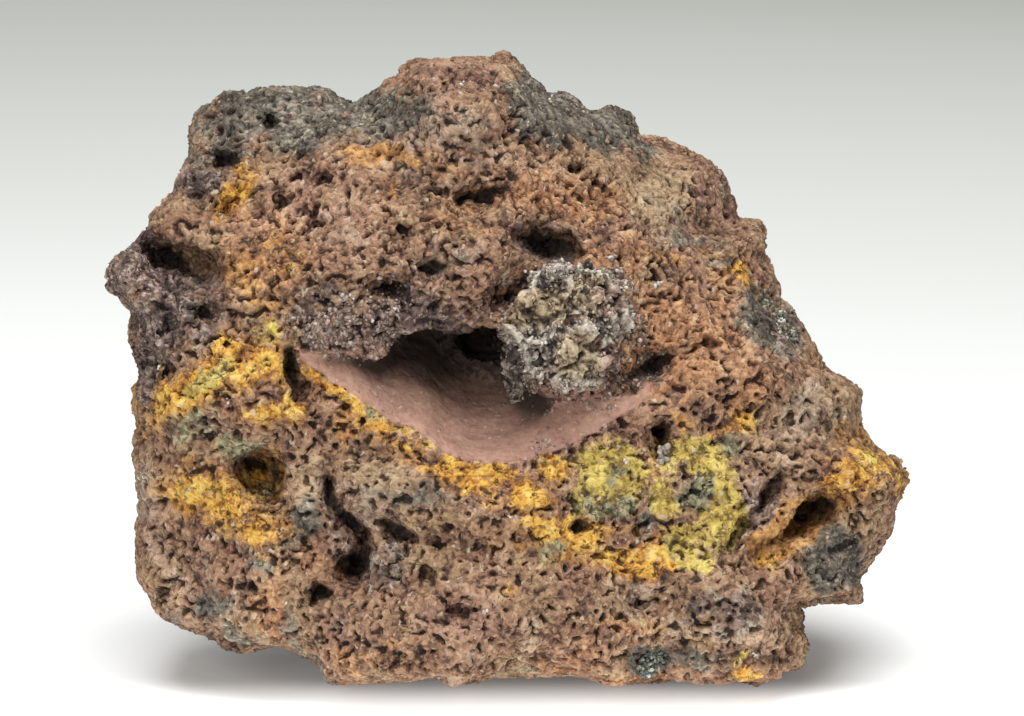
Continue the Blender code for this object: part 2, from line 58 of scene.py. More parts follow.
# Where the stone's mesh is parted, in millimetres back, up and across, so that no piece of it is too heavy
PART_BACK, PART_UP, PART_ACROSS = 6.0, -12.3, 17.0

# The outline, looking straight at the face: how far out it lies, in millimetres, at every OUTLINE_STEP
# degrees from the right, anticlockwise; by how much the stone is kept inside it before its skin is
# roughened; and from which share of its reach outwards the stone is drawn to it
OUTLINE = [
    40.8, 39.5, 39.1, 38.0, 37.3, 36.0, 36.1, 36.2, 35.8, 36.7, 37.0, 34.8, 35.4, 36.1, 36.4,
    36.6, 36.1, 35.7, 35.1, 34.8, 33.8, 35.8, 35.7, 35.4, 34.0, 35.3, 35.7, 35.0, 36.7, 38.2,
    39.6, 38.7, 39.5, 39.5, 39.7, 39.9, 40.1, 38.8, 38.8, 38.6, 38.8, 42.2, 43.4, 45.7, 47.1,
    49.7, 50.3, 49.7, 49.3, 47.9, 47.7, 47.5, 47.8, 48.7, 49.8, 51.0, 50.3, 47.2, 47.7, 46.5,
    45.5, 46.4, 46.8, 46.3, 47.3, 47.5, 48.4, 49.0, 50.3, 51.4, 52.7, 52.6, 52.9, 51.7, 49.4,
    49.9, 48.0, 43.9, 44.1, 43.5, 44.8, 43.6, 42.6, 41.5, 40.6, 39.6, 39.3, 39.5, 38.9, 38.2,
    38.4, 38.4, 38.4, 38.6, 39.0, 39.5, 41.0, 42.1, 42.1, 43.7, 45.0, 46.4, 48.4, 50.4, 51.3,
    52.7, 50.8, 46.7, 48.5, 53.4, 51.1, 51.7, 51.9, 52.1, 51.8, 52.2, 51.2, 46.0, 44.6, 44.7,
]
OUTLINE_STEP = 360 / len(OUTLINE)
OUTLINE_INSET = 0.35
OUTLINE_START, PRESSED_START = 0.62, 0.96
# How far off the camera stands, and the depth at which its scale is true
VIEW_DISTANCE, FACE_DEPTH = 703.2, 12.0

# The broad face's zones reach this far back round the edge, in millimetres from the block's middle
ZONE_BACK_START, ZONE_BACK_END = 4.0, 13.0

# Minerals on the broad face: (across, up), (half width, half height), turn in degrees, strength
ZONES = {
    "ochre": [
        ((-32.0, 21.2), (3.2, 1.1), 38, 0.85), ((-36.8, -2.2), (5.7, 1.9), 40, 0.9),
        ((-29.9, 1.1), (3.6, 2.6), 0, 0.95), ((-26.5, -4.7), (4.9, 1.7), 0, 0.8),
        ((-34.5, -14.8), (4.8, 2.6), -18, 1.0), ((-29.9, -17.6), (3.2, 2.2), 0, 0.85),
        ((-13.0, -7.1), (4.0, 1.6), -25, 0.7), ((-4.6, -11.4), (6.4, 2.0), -18, 0.8),
        ((5.2, -11.7), (2.0, 1.5), 0, 1.1), ((2.6, -14.8), (2.2, 1.7), 0, 0.9),
        ((6.7, -19.2), (5.4, 1.9), 0, 0.85), ((16.5, -22.0), (5.0, 1.5), 0, 0.9),
        ((37.4, -13.8), (4.8, 1.0), 14, 0.7), ((31.4, -21.9), (2.6, 0.8), 30, 0.6),
        ((43.8, -11.4), (4.8, 2.2), -12, 0.72), ((-32.6, 22.0), (2.4, 0.8), 45, 0.6),
        ((-46.1, 4.0), (1.0, 2.0), 0, 0.95),
        ((-45.2, -3.9), (1.2, 2.7), 0, 0.9), ((0.6, -25.8), (1.1, 0.9), 0, 0.7),
        ((29.5, -35.6), (1.2, 0.7), 0, 1.1), ((28.2, 11.9), (1.1, 1.7), 0, 0.7),
        ((-33.3, 3.2), (2.2, 1.2), 30, 0.7),
        ((18.0, -9.8), (0.9, 3.0), 0, 0.7), ((-29.0, -12.8), (2.2, 2.0), 0, 1.15),
        ((27.4, -6.6), (3.0, 1.0), 40, 0.6),
    ],
    "sulphur": [
        ((12.0, -12.1), (5.0, 4.8), 0, 1.0), ((23.6, -10.2), (4.2, 2.2), -20, 0.85),
        ((25.0, -16.6), (3.2, 4.4), 10, 1.0), ((18.8, -13.6), (1.4, 4.4), 0, 0.9),
        ((22.7, -22.3), (2.2, 1.0), 0, 1.0), ((21.4, -19.8), (2.6, 2.0), 0, 0.85),
        ((28.2, -33.8), (1.1, 0.7), 0, 0.8), ((-34.6, -0.8), (3.6, 1.0), 38, 0.85),
        ((-29.6, 0.8), (1.4, 1.1), 0, 0.75), ((-28.2, 5.2), (2.0, 1.2), 60, 0.7),
        ((-35.4, -14.0), (2.6, 1.8), -20, 0.65), ((43.4, -10.6), (2.6, 1.5), 0, 0.5),
    ],
    "amber": [
        ((33.2, -18.4), (5.6, 3.0), 34, 1.4), ((38.4, -15.6), (3.0, 2.2), 10, 0.9),
        ((-18.4, -6.3), (2.8, 2.0), 0, 0.8), ((-26.8, 3.4), (2.4, 2.0), 20, 0.85),
        ((-28.0, 10.0), (2.6, 4.2), 0, 0.6), ((8.4, -18.2), (3.4, 2.0), 0, 0.8),
        ((18.0, -20.8), (4.6, 1.7), 0, 0.7), ((-31.8, 20.9), (3.4, 1.2), 38, 0.6),
        ((-14.6, 25.6), (4.6, 1.5), -6, 0.95), ((-12.4, 25.4), (1.6, 1.3), 0, 1.0),
        ((-28.4, -12.0), (3.0, 2.6), 0, 1.0), ((-13.6, 21.8), (1.5, 2.5), 0, 0.5),
        ((20.2, -6.0), (1.1, 3.2), 25, 0.8), ((-33.0, -12.0), (6.4, 3.8), -18, 0.5),
        ((-23.0, -5.6), (4.0, 2.0), -20, 0.6), ((-12.0, -8.8), (5.0, 2.0), -22, 0.6),
        ((0.0, -13.0), (5.0, 2.6), -10, 0.6), ((42.0, -9.6), (7.0, 3.6), -12, 0.5),
        ((24.8, 12.6), (3.6, 1.8), 0, 0.45), ((31.6, 9.0), (1.6, 3.6), 30, 0.4),
        ((-36.4, 0.0), (6.2, 2.4), 40, 0.6), ((-28.4, 12.6), (4.4, 3.4), 20, 0.55),
        ((23.6, -7.6), (4.0, 1.3), -10, 0.6), ((24.4, -14.0), (4.8, 6.4), 10, 0.4),
        ((19.2, 12.8), (2.6, 1.4), -30, 0.7), ((1.0, -25.6), (1.8, 1.4), 0, 0.6),
    ],
    "clay": [
        ((-42.4, -16.0), (3.6, 8.0), 0, 0.6), ((-33.0, -27.4), (9.0, 5.0), -15, 0.55),
        ((-8.0, 26.6), (9.0, 4.6), 0, 0.95), ((36.0, -5.0), (5.0, 3.6), 0, 0.5),
        ((27.0, -29.6), (9.0, 4.0), 0, 0.5),
        ((-16.0, -16.0), (6.0, 2.2), -20, 0.5), ((24.0, 6.6), (4.2, 2.8), -20, 0.6),
        ((18.4, 16.6), (3.4, 3.0), 0, 0.5), ((16.0, -26.4), (6.0, 2.0), 0, 0.45),
        ((-22.0, 15.0), (5.0, 4.0), 0, 0.35), ((36.0, -8.0), (5.0, 3.0), 0, 0.4),
        ((2.0, -30.0), (6.0, 3.0), 0, 0.4),
    ],
    "green": [
        ((-35.1, -6.8), (4.7, 2.5), -10, 0.62), ((-31.4, -9.2), (3.2, 1.7), 0, 0.66),
        ((-14.0, -5.2), (4.4, 1.2), -35, 0.6), ((12.4, -15.8), (3.2, 1.6), 0, 0.75),
        ((13.4, -12.0), (2.2, 1.6), 20, 0.45), ((8.6, -13.4), (1.5, 2.2), 0, 0.5),
        ((21.8, -14.0), (2.2, 2.6), 0, 0.95), ((27.6, -9.6), (2.2, 1.8), 0, 0.5),
        ((-29.2, -13.6), (2.0, 2.7), 0, 0.5),
        ((15.3, -29.1), (4.9, 1.5), 0, 0.35), ((4.9, -21.0), (2.5, 1.2), 0, 0.5),
    ],
    "rust": [
        ((20.2, 3.2), (8.9, 7.2), -10, 1.0), ((23.9, 11.9), (6.2, 3.7), -20, 0.6),
        ((6.7, 20.5), (8.2, 3.2), -10, 0.75), ((-3.1, 18.7), (7.4, 3.2), 0, 0.5),
        ((-8.0, 26.0), (9.0, 3.8), -6, 0.5),
        ((11.6, 13.7), (6.2, 3.7), 0, 0.6), ((-27.5, -27.2), (1.7, 4.9), 0, 0.9),
        ((-21.6, -23.5), (4.4, 2.0), -20, 0.6), ((-18.5, -33.7), (2.2, 1.5), 0, 0.9),
        ((-14.2, -33.4), (3.7, 2.2), 0, 0.6), ((14.1, -36.9), (4.4, 1.7), 0, 0.9),
        ((14.7, -29.7), (4.4, 1.5), 0, 0.9), ((6.7, -33.4), (4.9, 2.2), 0, 0.5),
        ((-28.0, 13.5), (7.4, 4.9), 0, 0.6), ((-31.4, 19.3), (4.9, 3.7), 0, 0.5),
        ((26.4, -1.2), (6.2, 3.7), -30, 0.8), ((35.0, 5.0), (1.5, 4.9), 35, 0.8),
        ((16.5, 29.8), (1.5, 2.5), 0, 0.6), ((-9.3, -18.6), (7.4, 2.7), -10, 0.35),
        ((-33.9, -28.5), (7.4, 3.0), -20, 0.4), ((-21.6, -2.4), (4.9, 1.7), -30, 0.5),
        ((31.3, -29.7), (7.4, 3.0), 0, 0.35),
    ],
    "red": [
        ((-6.2, 35.4), (7.2, 4.7), 0, 0.7), ((-8.1, 24.9), (7.4, 3.7), 0, 0.4),
        ((26.4, 20.5), (3.0, 4.2), 30, 1.0), ((22.7, 25.5), (3.2, 1.7), -20, 0.7),
        ((-4.4, -28.5), (4.9, 3.5), 0, 0.9), ((28.8, -3.7), (1.2, 4.9), 20, 0.5),
        ((14.1, 16.8), (4.9, 2.7), -20, 0.5), ((-37.6, -18.6), (6.2, 4.2), 0, 0.55),
        ((-15.4, -29.7), (7.4, 3.2), 0, 0.4), ((7.9, -7.4), (4.9, 1.7), 0, 0.4),
        ((17.8, 2.5), (7.4, 2.5), -20, 0.4),
    ],
    "grey": [
        ((5.2, 32.6), (4.6, 6.4), 0, 1.2), ((11.6, 30.6), (5.2, 4.8), -20, 1.15),
        ((-26.0, 31.6), (9.6, 5.2), 0, 1.0),
        ((-16.0, 31.4), (6.8, 3.8), 0, 0.95), ((-35.1, 27.4), (4.6, 5.2), 0, 0.75),
        ((-45.0, 10.0), (5.0, 7.0), 0, 0.5),
        ((39.0, -22.6), (4.2, 3.8), 0, 1.15), ((-24.9, -17.7), (4.4, 2.2), 15, 0.9),
        ((-29.9, -21.7), (2.0, 1.2), 0, 0.8), ((-8.1, -14.5), (7.4, 1.4), 0, 0.6),
        ((23.9, -34.1), (4.9, 1.2), -5, 0.7), ((-34.1, -27.9), (2.7, 2.5), 0, 0.8),
        ((-21.0, -35.3), (3.2, 2.2), 0, 0.6), ((22.7, 16.2), (3.7, 3.0), -30, 0.6),
        ((31.8, 6.2), (5.2, 3.4), -42, 1.1), ((16.8, -34.1), (3.0, 1.7), 0, 0.8),
        ((25.9, 12.7), (2.0, 0.7), 20, 0.9), ((16.5, 26.1), (2.2, 1.7), 0, 0.8),
        ((-25.3, -31.0), (1.7, 3.7), 0, 0.5), ((-32.7, -32.2), (6.2, 1.5), 10, 0.6),
        ((-6.2, -34.1), (4.9, 2.5), 0, 0.4), ((-41.3, -31.0), (3.7, 1.7), 0, 0.5),
        ((42.4, -6.1), (3.7, 2.5), 0, 0.4), ((-47.4, 12.5), (2.0, 1.7), 0, 0.3),
        ((15.9, -18.7), (1.1, 1.9), -25, 1.15),
    ],
    "tan": [
        ((19.0, 21.2), (4.2, 6.9), 0, 0.9), ((22.7, 10.0), (6.2, 2.7), -10, 0.6),
        ((-24.0, -13.3), (2.7, 3.7), 0, 0.8), ((-14.2, -12.1), (4.2, 2.5), -10, 0.9),
        ((28.8, -11.1), (7.4, 3.7), 0, 0.7), ((36.2, -4.9), (6.2, 4.9), -20, 0.6),
        ((-0.7, -33.4), (3.7, 2.5), 0, 0.4), ((31.3, -23.5), (7.4, 3.0), 0, 0.4),
        ((-25.3, -3.7), (3.7, 1.2), 0, 0.5), ((-20.4, 5.0), (2.5, 4.9), 0, 0.3),
    ],
    "mauve": [
        ((-4.4, -3.9), (18.5, 7.2), -16, 1.0), ((4.2, -8.6), (7.4, 3.2), 0, 0.6),
        ((-21.6, 20.5), (8.4, 3.6), -10, 0.4), ((-14.0, 14.0), (6.0, 3.0), 0, 0.3),
        ((1.8, 23.6), (6.2, 1.7), -20, 0.5),
        ((-0.7, 27.4), (2.5, 1.5), 0, 0.5), ((-6.8, 8.7), (11.1, 7.4), 0, 0.35),
        ((29.8, -14.2), (2.4, 5.4), -35, 0.7), ((17.6, -14.6), (1.0, 3.6), 0, 0.6),
        ((-37.6, 23.6), (4.9, 4.9), 0, 0.4),
    ],
    "dark": [
        ((-43.7, 12.4), (6.2, 4.2), 0, 1.0), ((-39.4, 6.3), (6.6, 5.4), 0, 0.95),
        ((-41.5, 0.8), (4.9, 5.2), 0, 0.9), ((-13.0, 5.4), (12.8, 4.2), -5, 0.85),
        ((-35.4, 22.4), (3.6, 3.4), 0, 0.6),
        ((4.2, 15.0), (4.9, 3.7), 0, 0.6), ((-8.1, 13.5), (7.4, 2.5), 0, 0.4),
        ((-16.7, -21.0), (6.2, 4.4), -30, 0.5), ((25.2, -28.5), (6.2, 2.7), 0, 0.5),
        ((28.4, -16.6), (1.7, 6.4), -38, 0.85), ((33.6, 5.4), (3.4, 3.0), -40, 0.6),
        ((16.2, -0.2), (4.6, 1.8), 27, 0.6),
    ],
}

# Every ochre patch lies in an amber stain, so much wider and so much fainter
STAIN_REACH, STAIN_SHARE = 1.5, 0.95
for patch, (across, up), turn, strength in ZONES["ochre"]:
    stain = (STAIN_REACH * across, STAIN_REACH * up)
    ZONES["amber"].append((patch, stain, turn, STAIN_SHARE * strength))

# The same minerals on the back, sides and underside: size of the patches, the level of the noise above
# which they lie (a higher level leaves less of them), seed
BACK_ZONES = {
    "ochre": (13.0, 0.44, 11), "amber": (11.0, 0.36, 10), "clay": (12.0, 0.2, 20),
    "sulphur": (9.0, 0.75, 12), "green": (8.0, 0.62, 13), "rust": (17.0, 0.12, 14),
    "red": (14.0, 0.26, 15), "grey": (15.0, 0.20, 16), "tan": (12.0, 0.28, 17), "mauve": (14.0, 0.24, 18),
    "dark": (10.0, 0.34, 19),
}

# Painted shade: the blackest places on the face, inside its deepest vugs and cracks: (across, up), half
# sizes, turn
BLACK = [
    ((-20.6, -14.6), (0.8, 2.2), 12), ((-18.2, -17.4), (2.6, 0.7), -35), ((-12.8, -18.4), (2.4, 0.6), -25),
    ((-17.3, -22.4), (1.6, 1.4), -15), ((-13.2, 9.6), (2.4, 1.0), 0), ((-8.0, 12.2), (1.8, 0.7), 5),
    ((5.4, 14.4), (3.6, 1.5), -18), ((-3.0, 20.6), (3.2, 0.6), 12), ((16.4, 0.0), (3.0, 0.7), 27),
    ((18.3, -7.2), (0.9, 1.4), 0), ((-40.6, 13.5), (2.8, 1.1), -30), ((-25.1, 0.4), (0.8, 2.6), 8),
    ((-33.3, 24.9), (1.3, 1.0), -20), ((-21.6, -26.0), (1.1, 0.9), 0), ((-37.0, 7.4), (1.0, 0.7), 0),
    ((37.4, -16.0), (1.8, 0.9), 20), ((8.6, -18.0), (1.0, 0.8), 0), ((-29.8, -10.9), (2.0, 0.5), -22),
    ((-27.2, -12.0), (0.6, 1.4), 8),
]

# Where the face is calmer, with low relief: (across, up), (half width, half height), turn
CALM = [
    ((6.0, -20.0), (34.0, 11.0), -4), ((30.0, -8.0), (18.0, 16.0), -20), ((-14.0, -11.0), (14.0, 5.0), -20),
    ((8.0, -32.0), (24.0, 6.0), 0), ((20.0, 22.0), (7.0, 9.0), 0), ((9.0, 31.0), (8.0, 5.0), -12),
    ((-30.0, -26.0), (16.0, 8.0), 0), ((-32.0, -10.0), (8.0, 7.0), 0), ((-24.0, 18.0), (9.0, 5.0), 0),
]

# Vugs, slits and pits opened up in the face: name, (across, up), (half width, half height), turn, depth
PITS = [
    ("slit by the hollow", (-25.2, 0.3), (0.9, 3.0), 8, 4.0),
    ("hollow's black end", (-2.2, 3.9), (3.8, 2.6), 10, 7.0),
    ("slit below it", (-24.0, -2.0), (1.2, 1.4), 0, 3.5),
    ("ochre vug, top", (-30.2, -10.8), (2.6, 0.8), -22, 2.8),
    ("ochre vug, foot", (-27.4, -12.8), (1.1, 2.8), 8, 2.8),
    ("crack, top", (-20.6, -14.4), (0.9, 2.4), 12, 4.0),
    ("crack, middle", (-18.2, -17.4), (3.0, 0.9), -35, 4.0),
    ("crack, end", (-12.8, -18.4), (2.9, 0.8), -25, 3.0),
    ("crack, drop", (-16.4, -19.8), (1.0, 2.0), 10, 4.0),
    ("black vug", (-17.7, -22.8), (2.1, 1.9), -15, 4.0),
    ("small black vug", (-21.6, -26.0), (1.5, 1.2), 0, 3.5),
    ("brow pit, left", (-13.2, 9.6), (2.8, 1.3), 0, 2.5),
    ("brow pit, middle", (-8.0, 12.2), (1.9, 0.9), 5, 2.0),
    ("brow pit, slot", (-3.0, 20.6), (3.8, 0.8), 12, 2.5),
    ("brow gap", (5.4, 14.6), (4.2, 1.8), -18, 4.0),
    ("brow gap, branch", (2.0, 9.6), (4.0, 1.0), 30, 2.0),
    ("slanting slit", (16.4, 0.0), (3.6, 1.0), 27, 3.0),
    ("slanting slit, end", (22.6, 2.8), (2.3, 0.6), 20, 2.5),
    ("square slot", (18.5, -8.4), (1.1, 2.4), 0, 4.0),
    ("round hole", (8.6, -18.0), (1.3, 1.1), 0, 3.0),
    ("blue slit", (16.2, -17.8), (0.8, 1.6), -35, 2.5),
    ("long groove, top", (31.2, -14.2), (0.9, 3.4), -38, 2.8),
    ("long groove, foot", (27.6, -19.0), (0.9, 2.8), -42, 2.6),
    ("orange hollow", (36.8, -16.6), (2.7, 1.6), 25, 4.5),
    ("orange trough", (32.4, -20.2), (4.6, 1.5), 34, 2.2),
    ("round pit", (-9.4, -24.3), (1.4, 1.0), 20, 2.0),
    ("left vug", (-35.3, 6.8), (1.6, 1.0), -15, 2.5),
    ("left vug, lower", (-39.4, 5.4), (1.2, 1.4), 0, 2.5),
    ("left vug, third", (-41.6, 1.2), (1.6, 0.8), 15, 2.0),
    ("top gap", (-20.0, 33.2), (2.2, 0.7), 0, 2.0),
    ("red pit", (-5.6, -28.0), (2.6, 0.8), 8, 2.0),
    ("under ledge", (16.2, -27.0), (2.1, 0.8), -10, 1.8),
    ("upper vug", (-33.3, 24.9), (1.7, 1.4), -20, 3.0),
    ("upper slit", (-36.8, 20.7), (1.2, 0.5), 10, 2.0),
    ("streak foot", (-32.7, 19.5), (1.5, 0.6), 35, 2.5),
    ("oval pit", (-25.0, 22.6), (0.6, 0.9), -30, 2.5),
    ("round pit, upper", (-21.5, 22.6), (0.9, 0.6), 0, 2.5),
    ("small pit row", (-19.2, 22.4), (0.6, 0.5), 0, 2.0),
    ("pit under the row", (-22.6, 18.1), (0.6, 0.9), 0, 2.5),
    ("pit beside it", (-20.7, 18.4), (0.5, 0.6), 0, 2.0),
    ("diagonal slit", (-26.6, 19.2), (1.6, 0.5), 50, 2.8),
    ("black nook", (-28.0, 29.6), (1.2, 0.9), 30, 3.0),
    ("left cave", (-40.6, 13.5), (3.3, 1.5), -30, 4.0),
    ("left pit, upper", (-39.0, 5.6), (0.9, 1.0), 0, 2.5),
    ("left pit, lower", (-40.0, -0.2), (1.0, 0.6), 0, 2.5),
    ("left pit, far", (-42.7, 1.8), (0.9, 0.7), 0, 2.5),
    ("brow pit, small", (-11.7, 8.0), (0.6, 0.6), 0, 2.5),
    ("crown pit", (-4.9, 35.6), (0.7, 0.5), -20, 2.5),
    ("crown nook", (-6.8, 32.6), (0.7, 0.9), 30, 2.5),
    ("slate pit", (5.8, 33.6), (1.5, 1.0), 0, 2.5),
    ("slope slot", (8.5, 23.9), (1.2, 0.5), -25, 2.5),
    ("slope slot, low", (11.6, 21.7), (1.5, 0.4), -10, 2.0),
    ("wing pit", (-11.5, 15.8), (1.5, 1.0), 0, 3.0),
    ("round lid pit", (-13.7, 18.1), (1.0, 0.7), 0, 2.5),
    ("slot end", (13.8, -6.5), (0.5, 0.5), 0, 2.0),
    ("cheek slit", (32.3, -2.7), (0.5, 0.9), 35, 2.0),
    ("cheek crack", (28.2, -4.5), (1.5, 0.4), 8, 1.8),
    ("rear slot", (23.9, 25.5), (0.7, 1.2), -30, 2.5),
    ("grey slot", (23.9, 17.7), (1.2, 0.4), -5, 2.0),
    ("foot gap", (-7.8, -36.3), (1.2, 0.6), 10, 2.5),
    ("left crack end", (-13.0, -18.8), (2.0, 0.6), -10, 2.5),
    ("crack spur", (-11.5, -20.4), (0.6, 1.5), 10, 3.0),
    ("lower crack", (16.5, -27.2), (1.5, 0.4), -10, 2.0),
    ("lower pit, right", (25.8, -27.2), (0.6, 0.5), 0, 2.0),
    ("red hole", (-18.5, -3.9), (0.9, 0.5), 0, 2.0),
    ("right pit", (33.8, -6.1), (0.6, 0.6), 0, 1.6),
    ("dark nook", (13.1, -28.5), (0.6, 0.5), 0, 1.8),
    ("groove nook", (11.6, -21.7), (2.5, 0.5), -10, 2.0),
    ("left slit, lower", (-31.4, 3.2), (0.7, 0.5), 0, 1.5),
]
PIT_EDGE_WAVE = 1.1

# The main hollow: its outline as (across, up), (half width, half height), turn; the lines of its lower lip
# and of its brow's edge as (across, up); and how steeply its floor runs in from the lip along its length,
# as (across, slope)
HOLLOW = ((-4.8, -1.0), (21.0, 11.5), -9)
HOLLOW_LIP = [
    (-30.0, 5.0), (-23.2, 1.1), (-20.4, -1.0), (-16.7, -3.4), (-13.0, -6.1), (-9.3, -7.2), (-7.4, -9.2),
    (-4.4, -10.5), (-0.7, -10.5), (3.0, -10.3), (6.7, -8.9), (11.6, -6.4), (15.3, -4.1), (20.0, 0.0),
]
HOLLOW_BROW = [
    (-30.0, 1.0), (-23.1, 1.5), (-19.1, 1.8), (-14.8, 1.9), (-13.4, 3.2), (-12.5, 4.3), (-9.9, 3.9),
    (-8.1, 4.4), (-5.6, 5.6), (-3.1, 6.3), (-0.7, 6.7), (0.2, 5.0), (1.0, 3.1), (1.9, 1.3), (2.8, -0.2),
    (3.8, -1.8), (5.0, -3.0), (6.7, -3.7), (11.6, -3.7), (15.3, -3.4), (20.0, 1.5),
]
HOLLOW_SLOPE = [
    (-25.0, 0.3), (-20.0, 0.7), (-14.0, 1.1), (-8.0, 1.45), (-3.0, 1.7), (1.0, 1.6), (5.0, 0.9),
    (9.0, 0.5), (14.0, 0.3),
]
# Along the hollow, as places across and what holds there: the strength of the ochre rim under its lip, and
# how far down from the brow its painted shadow reaches, in millimetres
OCHRE_RIM = ([-25, -23, -9, 2], [0, 0.95, 0.75, 0])
BROW_SHADOW_REACH = ([-23, -18, -13, -8, -2, 1, 3, 6], [0.8, 1.3, 4.2, 7.0, 9.2, 8.8, 6.0, 0.2])
# The skin round the hollow: how far back at (across) its middle, and how it falls away left and right
SKIN_MIDDLE, SKIN_LEVEL, SKIN_LEFT, SKIN_RIGHT = -3.0, -28.2, 0.0035, 0.008
# The part of the brow that hangs low over the hollow's left end, across, and how far back its skin lies
BROW_LEFT, BROW_RIGHT, BROW_LEVEL = -25.5, -12.6, -27.6

# Crumbs of the stone's own minerals on its skin: name, how many, smallest and largest radius in
# millimetres, seed, and how thick they lie on each mineral
CRUMBS = [
    (
        "brown_crumbs", 9000, (0.11, 0.27), 41,
        {"base": 1.0, "red": 0.9, "rust": 0.4, "tan": 0.3, "grey": 0.5},
    ),
    ("rust_crumbs", 5000, (0.11, 0.27), 42, {"rust": 1.0, "red": 0.3}),
    ("ochre_crumbs", 7000, (0.12, 0.34), 43, {"ochre": 1.0, "sulphur": 0.8, "green": 0.8}),
    ("dark_crumbs", 7500, (0.12, 0.32), 44, {"dark": 1.0, "grey": 0.4, "mauve": 0.05}),
]

# Crusts of crystals in the vugs: the CAD node, the piece, its mesh's voxel, how far its lumps swell, how
# many triangles its skin keeps, how many crystals, smallest and largest radius, seed; in millimetres
CRUSTS = [
    ("druse_crust", "druse", 0.2, 1.1, 34000, 2400, (0.10, 0.28), 61),
    ("flank_vug_crust", "flank_crystals", 0.16, 0.45, 9000, 620, (0.10, 0.28), 62),
    ("oval_vug_crust", "oval_crystals", 0.12, 0.35, 5000, 260, (0.10, 0.30), 63),
]
# Where sugary grains are spread on the skin round the druse and along the brow, as the minerals are
SUGAR = [
    ((-18.8, 4.8), (6.0, 3.6), -4, 2.6), ((-13.5, 8.5), (3.5, 2.2), 0, 0.6),
    ((1.5, 4.5), (2.6, 6.0), -20, 0.9),
    ((8.0, -3.6), (7.5, 1.4), 0, 0.5), ((14.2, 5.0), (2.2, 7.0), 5, 0.9),
    ((13.6, 10.6), (1.2, 3.0), 15, 1.2),
    ((6.0, 10.6), (6.0, 1.6), 0, 0.6), ((4.6, -9.0), (2.6, 2.2), 0, 0.4), ((-1.0, 7.4), (3.0, 1.4), 0, 0.9),
    ((-44.0, 11.0), (5.0, 4.0), 0, 0.35), ((4.0, 32.0), (6.0, 4.5), 0, 0.12),
]
SUGAR_COUNT, SUGAR_RADII = 2000, (0.11, 0.30)
# Where the druse is tan and where it is wine brown, and its outline, as the minerals are
DRUSE_TONES = {
    "tan": [
        ((3.6, 7.4), (4.8, 2.6), 10, 1.0), ((8.6, 1.9), (3.4, 3.2), 0, 0.9),
        ((9.4, 9.0), (3.2, 2.6), 30, 0.8),
    ],
    "mauve": [
        ((13.2, -0.5), (2.6, 4.8), 0, 1.0), ((12.2, 8.2), (2.0, 2.4), 0, 0.7),
        ((4.6, -2.6), (2.4, 1.6), 0, 0.5),
    ],
}
DRUSE_OUTLINE = ((7.7, 5.2), (7.2, 7.6), 0)
# Its left edge runs from here (across, up) towards the lower right, across by so much for each
# millimetre down; and how far back what lies outside its outline is pushed, into the stone
DRUSE_EDGE = ((0.2, 5.6), 0.5)
DRUSE_PUSH = 12.0
# How far a crust is let into the stone
LET_IN = {"flank_crystals": (-1.1, 0.3, -0.4), "druse": (0.0, 1.0, -0.2)}
# Single bright crystals and little knots of them: (across, up), size
SPECKS = [
    ((-41.0, 0.6), 0.6), ((-43.1, -13.0), 0.6), ((-32.4, -3.4), 0.6), ((0.8, -16.9), 0.6),
    ((-2.3, -27.9), 0.5),
    ((-5.0, 34.2), 0.6), ((5.6, 32.6), 0.5), ((17.8, 10.0), 0.6), ((-38.8, 26.1), 0.4), ((10.4, -1.2), 0.5),
    ((4.9, -0.2), 0.6), ((12.2, -3.0), 0.5), ((5.8, 5.0), 0.6), ((13.1, 4.2), 0.8), ((-17.9, 8.7), 0.5),
    ((-12.7, 7.3), 0.5), ((13.2, 11.6), 0.6), ((13.9, 10.3), 0.6), ((13.5, 9.1), 0.5),
    ((29.5, -33.4), 0.6), ((-25.3, -27.2), 0.4), ((14.1, -10.5), 0.4), ((7.0, 3.6), 0.6),
]
# The block of crystal in the square slot: (across, up), radius; how many crystals, and the way they face
SLOT_CRYSTAL = ((18.7, -9.9), 0.46)
SLOT_COUNT, SLOT_FACING = 18, (0.15, -0.9, 0.4)

# Rounded ochre beads: (across, up), radius
BEADS = [
    ((-30.8, -0.9), 1.1), ((-28.7, -0.6), 1.0), ((-32.7, -0.2), 0.7), ((-30.8, -3.9), 1.0),
    ((-28.3, -3.7), 0.9),
    ((-26.5, -4.3), 0.7), ((-25.5, -5.2), 0.7), ((-23.8, -4.9), 0.9), ((-29.9, -2.4), 0.7),
    ((-27.1, -2.2), 0.7),
    ((-46.1, 4.0), 1.0), ((-45.8, 1.9), 0.7), ((-45.2, -3.0), 0.9), ((-45.4, -5.2), 0.9),
    ((5.2, -11.7), 1.0),
    ((6.7, -12.3), 0.6), ((2.6, -14.8), 0.9), ((1.2, -13.6), 0.7), ((31.3, -16.1), 0.9),
]


# The relief of the stone's skin: how high each layer is and how wide its features are, and its seed
RELIEF = {
    "swell": (0.45, 5.0, 31), "lumps": (0.80, 4.2, 52), "nubs": (0.24, 1.5, 55), "ribs": (0.16, 0.9, 53),
    "grain": (0.13, 0.6, 37), "floor ripple": (0.20, 2.2, 38),
}
# Broken lumps: their size, seed, how far they stand out, how deep the crevices between them are
CHUNKS = (1.9, 51, 0.30, 0.38)
# Pores: how deep, their size, seed, and the noise's levels at their rim and at their full depth
WIDE_PORES, FINE_PORES = (1.05, 1.5, 71, 0.25, 0.36), (0.75, 0.95, 73, 0.25, 0.34)


# ---------------------------------------------------------------- sums on many points at once

def step_up(low, high, value):
    """0 below low, 1 above high, and a smooth rise between."""
    share = np.clip((value - low) / (high - low), 0.0, 1.0)
    return share * share * (3 - 2 * share)


